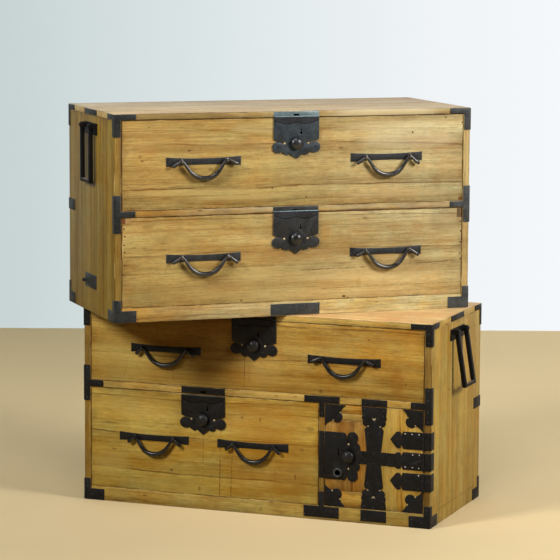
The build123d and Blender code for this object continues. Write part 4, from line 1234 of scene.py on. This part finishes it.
def makeBail(nodeName, drawer):
    case = caseOf(nodeName)
    low, high = ownBox(nodeName)
    joint = next(j for j in frame["joints"] if j["child"] == nodeName)
    axisZ = joint["pos_m"][2] - (chest["height"] if case == "upper" else 0)
    middle = Vector(((low.x + high.x) / 2, (low.y + high.y) / 2, axisZ))
    points, eyes = hungPath(nodeName)
    curve = smoothPath(points, bail["steps"])
    path, radii = domeEnds([Vector((p[0], 0, p[1])) / 1000 for p in curve], [p[2] / 1000 for p in curve])
    place = places[case] @ Matrix.Translation(middle)
    bm = bmesh.new()
    forgeBar(bm, path, radii, bail["sides"], bail["flatten"])
    finishForged(bm, nodeName + "_forged", place, irons[case + "Bar"], nodeName, [nodeName])
    # two ring eyes with their shanks, which hold it to the plate
    bm = bmesh.new()
    ring, wire = bail["eyeRing"] / 1000, bail["eyeWire"] / 1000
    for eye in eyes:
        x, z = eye.x / 1000, eye.y * bail["follow"] / 1000
        start = (Matrix.Translation((x, 0, z + ring)) @ Matrix.Diagonal((bail["eyeSquash"], 1, 1, 1))
                 @ Matrix.Rotation(pi / 2, 4, "X"))
        circle = bmesh.ops.create_circle(bm, segments=10, radius=wire, matrix=start)
        bmesh.ops.spin(bm, geom=edgesOf(circle["verts"]), cent=(x, 0, z), axis=(1, 0, 0), angle=2 * pi,
                       steps=20, use_merge=True)
        depth = abs(front - middle.y)
        near = ring * bail["shankStart"]
        path = [Vector((x, near + share * (depth - near), z)) for share in (0, 0.5, 1.0)]
        forgeBar(bm, path, [wire * swell for swell in bail["shank"]], 8)
    bmesh.ops.remove_doubles(bm, verts=bm.verts, dist=1e-6)
    # the upper eyes' paler finish paints highlights on their tops
    finishForged(bm, nodeName + "_eyes", place, irons["eye" if case == "upper" else "lowerBar"], drawer)


for drawer in drawers:
    for side in ("_left_bail", "_right_bail"):
        makeBail(drawer + side, drawer)
print("bails made")

# nails, as (along, height) in millimetres on a face
nail = {
    "radius": 0.0016,
    "bright": 0.0019,
    "wrap": 0.0014,
    "peg": 0.0017,
    "proud": 0.0015,         # outer face of the sheet irons
    "pegProud": 0.0012,
    "corners": [(440, 494.5), (414, 494.5), (452, 478), (452, 456), (440, 15), (414, 8), (414, 22),
                (452, 34), (452, 46)],
    "railHeight": {"upper": 262, "lower": 301},
    "railIron": [(452, 38), (452, 14), (452, -14), (452, -38), (418, 0)],      # about the rail's height
    "front": {
        "upper": [(-56, 10), (-56, 22), (56, 10), (56, 22)],
        "lower": [(136, 301), (160, 301), (200, 301), (222, 301), (179.5, 280), (179.5, 266), (136, 12),
                  (136, 24), (222, 12), (222, 24), (179.5, 56), (293.5, 299.4), (340, 302), (295, 12),
                  (335, 12)],
    },
    "moons": (265.5, 62.5),            # heights of the strap's two half-moon openings
    "moonAt": 315,
    "moonHalf": (9, 8),
    "sideCorners": [(190, 495), (160, 495), (196, 460), (196, 14), (196, 44), (160, 14)],
    "side": [(-44, 495), (44, 495), (190, 265)],
}
nailRows = {    # rows on the door and its hinges, by piece
    "hinge_bright_nails": [
        (395.2, 231), (412.8, 231), (430.7, 231), (414.9, 180.5), (431.8, 180.8), (396.2, 149), (414.2, 149),
        (430.7, 148.5), (430.5, 130)],
    "hinge_dark_nails": [
        (384, 228.4), (384, 199.6), (395, 199.6), (413.6, 199.8), (430.7, 199.8), (384.7, 177.6),
        (384.6, 149.8), (396, 180.6), (382.8, 126.4), (396, 130), (414, 130), (383, 99.4), (396, 98),
        (414, 98), (430, 98)],
    "strap_nails": [
        (291, 284), (315, 286), (339, 284), (291, 270), (339, 270), (300, 226), (330, 226), (300, 103),
        (330, 103), (291, 58), (339, 58), (291, 44), (315, 42), (339, 44), (315, 176), (315, 152), (283, 176),
        (283, 152), (348, 176), (348, 152)],
    "wrap_bright_nails": [(-181, 226), (-181, 200), (-181.5, 182), (-181, 163), (-181, 147), (-181, 128)],
    "door_iron_pegs": [
        (228.3, 272.2), (210.3, 251.8), (300.1, 243.1), (398.6, 270.7), (419.9, 253.0), (330.7, 243.1),
        (208.7, 75.6), (228.2, 55.7), (300.7, 84.1), (331.4, 85.1), (422.2, 76.4), (402.5, 55.5)],
}


def onFront(x, z, out=0.0):
    return Vector((x / 1000, front - out, z / 1000))


def nailRow(name, body, case, spots, proud, material, radius, face="front"):
    bm = bmesh.new()
    for along, z in spots:
        if face == "front":
            point, normal = onFront(along, z, proud), Vector((0, -1, 0))
        else:
            side = 1 if face == "right" else -1
            point, normal = Vector((side * (halfWidth + proud), along / 1000, z / 1000)), Vector((side, 0, 0))
        nailHead(bm, point, normal, radius)
    moveAll(bm, places[case])
    finishPiece(name, bm, material, body)


def mirrored(spots, rise=0):
    return [(side * along, z + rise) for side in (-1, 1) for along, z in spots]


for case in ("upper", "lower"):
    body = case + "_case"
    spots = mirrored(nail["corners"]) + nail["front"][case]
    spots += mirrored(nail["railIron"], nail["railHeight"][case])
    nailRow(case + "_front_nails", body, case, spots, nail["proud"], irons["nail"], nail["radius"])
    for face in ("left", "right"):
        nailRow(case + "_" + face + "_nails", body, case, mirrored(nail["sideCorners"]) + nail["side"],
                nail["proud"], irons["nail"], nail["radius"], face)

doorBody = bodyOf("door_panel")
for name, body, proud, material, radius, face in (
        ("hinge_bright_nails", doorBody, nail["proud"], irons["bright"], nail["bright"], "front"),
        ("hinge_dark_nails", doorBody, nail["proud"], irons["nail"], nail["radius"], "front"),
        ("strap_nails", doorBody, nail["proud"], irons["nail"], nail["radius"], "front"),
        ("wrap_bright_nails", "lower_case", nail["proud"], irons["bright"], nail["wrap"], "right"),
        ("door_iron_pegs", doorBody, nail["pegProud"], palePeg, nail["peg"], "front")):
    nailRow(name, body, "lower", nailRows[name], proud, material, radius, face)
bm = bmesh.new()       # pale ground under the half-moon openings
halfX, halfZ = nail["moonHalf"]
for z in nail["moons"]:
    smallPlate(bm, onFront(nail["moonAt"] - halfX, z - halfZ, 0.0003),
               onFront(nail["moonAt"] + halfX, z + halfZ, 0.0001), 0.00005)
finishPiece("door_moon_ground", bm, palePeg, doorBody)
print("nails made")

# small wooden repairs and pegs in the second drawer's front
repairs = {
    "proud": 0.0003,
    "blocks": {     # left, bottom, right, top
        "repairRed": (-442.0, 239.4, -432.9, 251.8),
        "repairGrey": (427.5, 229.4, 437.4, 251.8),
        # the repairShade strip is painted shade beside the grey repair
        "repairShade": (438.2, 228.6, 442.0, 251.8),
    },
    "splice": [(-432.6, 251.8), (-404.5, 251.8), (-432.6, 237.5)],
    "peg": 0.0022,
    "pegs": [(-436.4, 227.4), (-434.2, 209.3), (-435.7, 188.4), (-434.3, 170.8), (-434.3, 139.5),
             (-436.9, 116.7), (437.5, 218.1), (438.4, 194.2), (441, 174.7), (438.3, 166.3), (436.1, 137.7),
             (438.2, 124.5)],
}


def finishRepair(bm, name, material):
    moveAll(bm, places["upper"])
    finishPiece("second_drawer_" + name, bm, material, "second_drawer")


for tone, (x0, z0, x1, z1) in repairs["blocks"].items():
    bm = bmesh.new()
    smallPlate(bm, onFront(x0, z0, repairs["proud"]), onFront(x1, z1, -0.001), 0.0002)
    box = (Vector((x0, -210, z0)) / 1000, Vector((x1, -200, z1)) / 1000)
    finishRepair(bm, tone, woodFinish(tone + "Wood", "upper", tone, "z", box, 60))
bm = bmesh.new()       # pale splice in the left corner, cut off slantwise
corners = [bm.verts.new(onFront(x, z, repairs["proud"])) for x, z in repairs["splice"]]
splice = bmesh.ops.contextual_create(bm, geom=corners)["faces"]
grown = bmesh.ops.extrude_face_region(bm, geom=splice)["geom"]
bmesh.ops.translate(bm, vec=(0, 0.001, 0), verts=[v for v in grown if isinstance(v, bmesh.types.BMVert)])
turnOutward(bm)
box = (Vector((-0.443, -0.21, 0.237)), Vector((-0.404, -0.2, 0.252)))
finishRepair(bm, "splice", woodFinish("spliceWood", "upper", "splice", "x", box, 61))
bm = bmesh.new()
for x, z in repairs["pegs"]:
    nailHead(bm, onFront(x, z, -0.0001), Vector((0, -1, 0)), repairs["peg"], 0.2)
finishRepair(bm, "pegs", woodFinish("pegWood", "upper", "peg", "y", wholeCase, 62))
print("repairs made")

studio = {
    "floor": (230, 208, 162),
    "floorAcross": (-0.65, 0.65, 0.92, 1.18),      # painted light: lighter to the right
    "floorDeep": (6.2, 7.6, 0.88, 1.10),           # painted light: and lighter away from the camera
    "floorBounce": (92, 80, 60),     # what the floor throws back onto the chest
    "wall": [(0.0, (199, 211, 211)), (0.5, (227, 235, 236)), (0.82, (242, 245, 247)), (1.0, (245, 248, 250))],
    "wallHalf": 1.0,         # half of the wall that the camera takes in
    "wallDistance": 9.6,     # from the camera, level
    "cameraAt": (2.390, -6.302, 1.459),
    "yaw": 20.845,
    "pitch": -7.589,
    "roll": 0.321,
    "focal": 2689.3,         # pixels
    "frameWidth": 560,       # pixels
    "sensor": 36,            # millimetres
    "air": (238, 232, 220),
    "airStrength": 0.05,
}
yaw, pitch, roll = (radians(studio[key]) for key in ("yaw", "pitch", "roll"))
right = Vector((cos(yaw), sin(yaw), 0))
level = Vector((-sin(yaw), cos(yaw), 0))
ahead = cos(pitch) * level + sin(pitch) * Vector((0, 0, 1))
above = -sin(pitch) * level + cos(pitch) * Vector((0, 0, 1))
rightRolled = cos(roll) * right + sin(roll) * above
aboveRolled = -sin(roll) * right + cos(roll) * above


def stagePlane(name, matrix, material):
    bm = bmesh.new()
    bmesh.ops.create_grid(bm, x_segments=1, y_segments=1, size=12, matrix=matrix)
    mesh = bpy.data.meshes.new(name)
    bm.to_mesh(mesh)
    bm.free()
    mesh.materials.append(material)
    addObject(name, mesh)


def floorPaint():
    g = Graph("floorPaint")
    point = g.add("ShaderNodeTexCoord").outputs["Object"]
    shade = g.spread(g.noise(point, 1.3, 3.0), 0.3, 0.7, 0.97, 1.03)
    offset = g.vector("SUBTRACT", point, studio["cameraAt"])
    for way, (near, far, low, high) in ((right, studio["floorAcross"]), (level, studio["floorDeep"])):
        along = g.vector("DOT_PRODUCT", offset, tuple(way))
        shade = g.times(shade, g.spread(along, near, far, low, high))
    tint = g.mix(1.0, linear(studio["floor"]), g.join([shade, shade, shade]), "MULTIPLY")
    return g.finish({"Base Color": g.mix(g.seenStraight(), linear(studio["floorBounce"]), tint),
                     "Roughness": 0.8, "Specular IOR Level": 0.2})


def wallPaint(centre):
    # pale wall with painted light, lighter to the right; seen and reflected as written, open from behind
    g = Graph("wallPaint")
    point = g.add("ShaderNodeTexCoord").outputs["Object"]
    across = g.vector("DOT_PRODUCT", g.vector("SUBTRACT", point, tuple(centre)), tuple(right))
    ramp = g.add("ShaderNodeValToRGB")
    g.link(g.spread(across, -studio["wallHalf"], studio["wallHalf"]), ramp.inputs["Fac"])
    while len(ramp.color_ramp.elements) < len(studio["wall"]):
        ramp.color_ramp.elements.new(0.5)
    for element, (position, rgb) in zip(ramp.color_ramp.elements, studio["wall"]):
        element.position = position
        element.color = linear(rgb)
    g.finish({"Base Color": ramp.outputs["Color"], "Roughness": 0.9})
    glow = g.add("ShaderNodeEmission")
    g.link(ramp.outputs["Color"], glow.inputs["Color"])
    seen = g.blend(g.seenStraight(), g.shader.outputs["BSDF"], glow.outputs[0])
    behind = g.add("ShaderNodeNewGeometry").outputs["Backfacing"]
    whole = g.blend(behind, seen, g.add("ShaderNodeBsdfTransparent").outputs[0])
    g.link(whole, g.output.inputs["Surface"])
    return g.material


wallAt = Vector(studio["cameraAt"]) + level * studio["wallDistance"]
wallAt.z = 0
stagePlane("floor", Matrix.Identity(4), floorPaint())
upright = Matrix.Rotation(yaw, 4, "Z") @ Matrix.Rotation(pi / 2, 4, "X")
stagePlane("wall", Matrix.Translation(wallAt) @ upright, wallPaint(wallAt))

camera = addObject("camera", bpy.data.cameras.new("camera"))
camera.data.sensor_width = studio["sensor"]
camera.data.lens = studio["focal"] / studio["frameWidth"] * studio["sensor"]
camera.matrix_world = Matrix.Translation(studio["cameraAt"]) @ Matrix(
    (rightRolled, aboveRolled, -ahead)).transposed().to_4x4()
bpy.context.scene.camera = camera

# soft lamps by direction: degrees right of the lower front, degrees up, metres away
lamps = {
    "windowLeft": {"around": -26, "up": 30, "away": 5.0, "size": 1.3, "power": 140, "rgb": (255, 250, 240)},
    "windowRight": {"around": 80, "up": 27, "away": 5.0, "size": 1.6, "power": 170, "rgb": (255, 248, 236)},
    "skylight": {"around": 16, "up": 58, "away": 4.5, "size": 1.5, "power": 45, "rgb": (250, 250, 255)},
    "windowBack": {"around": 205, "up": 38, "away": 5.0, "size": 2.4, "power": 85, "rgb": (250, 250, 255)},
}
for name, setting in lamps.items():
    around, up = radians(setting["around"]), radians(setting["up"])
    toLamp = Vector((sin(around) * cos(up), -cos(around) * cos(up), sin(up)))
    lamp = bpy.data.lights.new(name, "AREA")
    lamp.shape = "DISK"
    lamp.size = setting["size"]
    lamp.energy = setting["power"]
    lamp.color = [v / 255 for v in setting["rgb"]]
    holder = addObject(name, lamp)
    holder.location = Vector((0, 0, 0.5)) + toLamp * setting["away"]
    holder.rotation_euler = (-toLamp).to_track_quat("-Z", "Y").to_euler()

world = bpy.data.worlds.new("studioAir")
bpy.context.scene.world = world
world.use_nodes = True
air = world.node_tree.nodes["Background"].inputs
air["Color"].default_value = linear(studio["air"])
air["Strength"].default_value = studio["airStrength"]
bpy.context.scene.view_settings.view_transform = "Standard"
print("studio made")
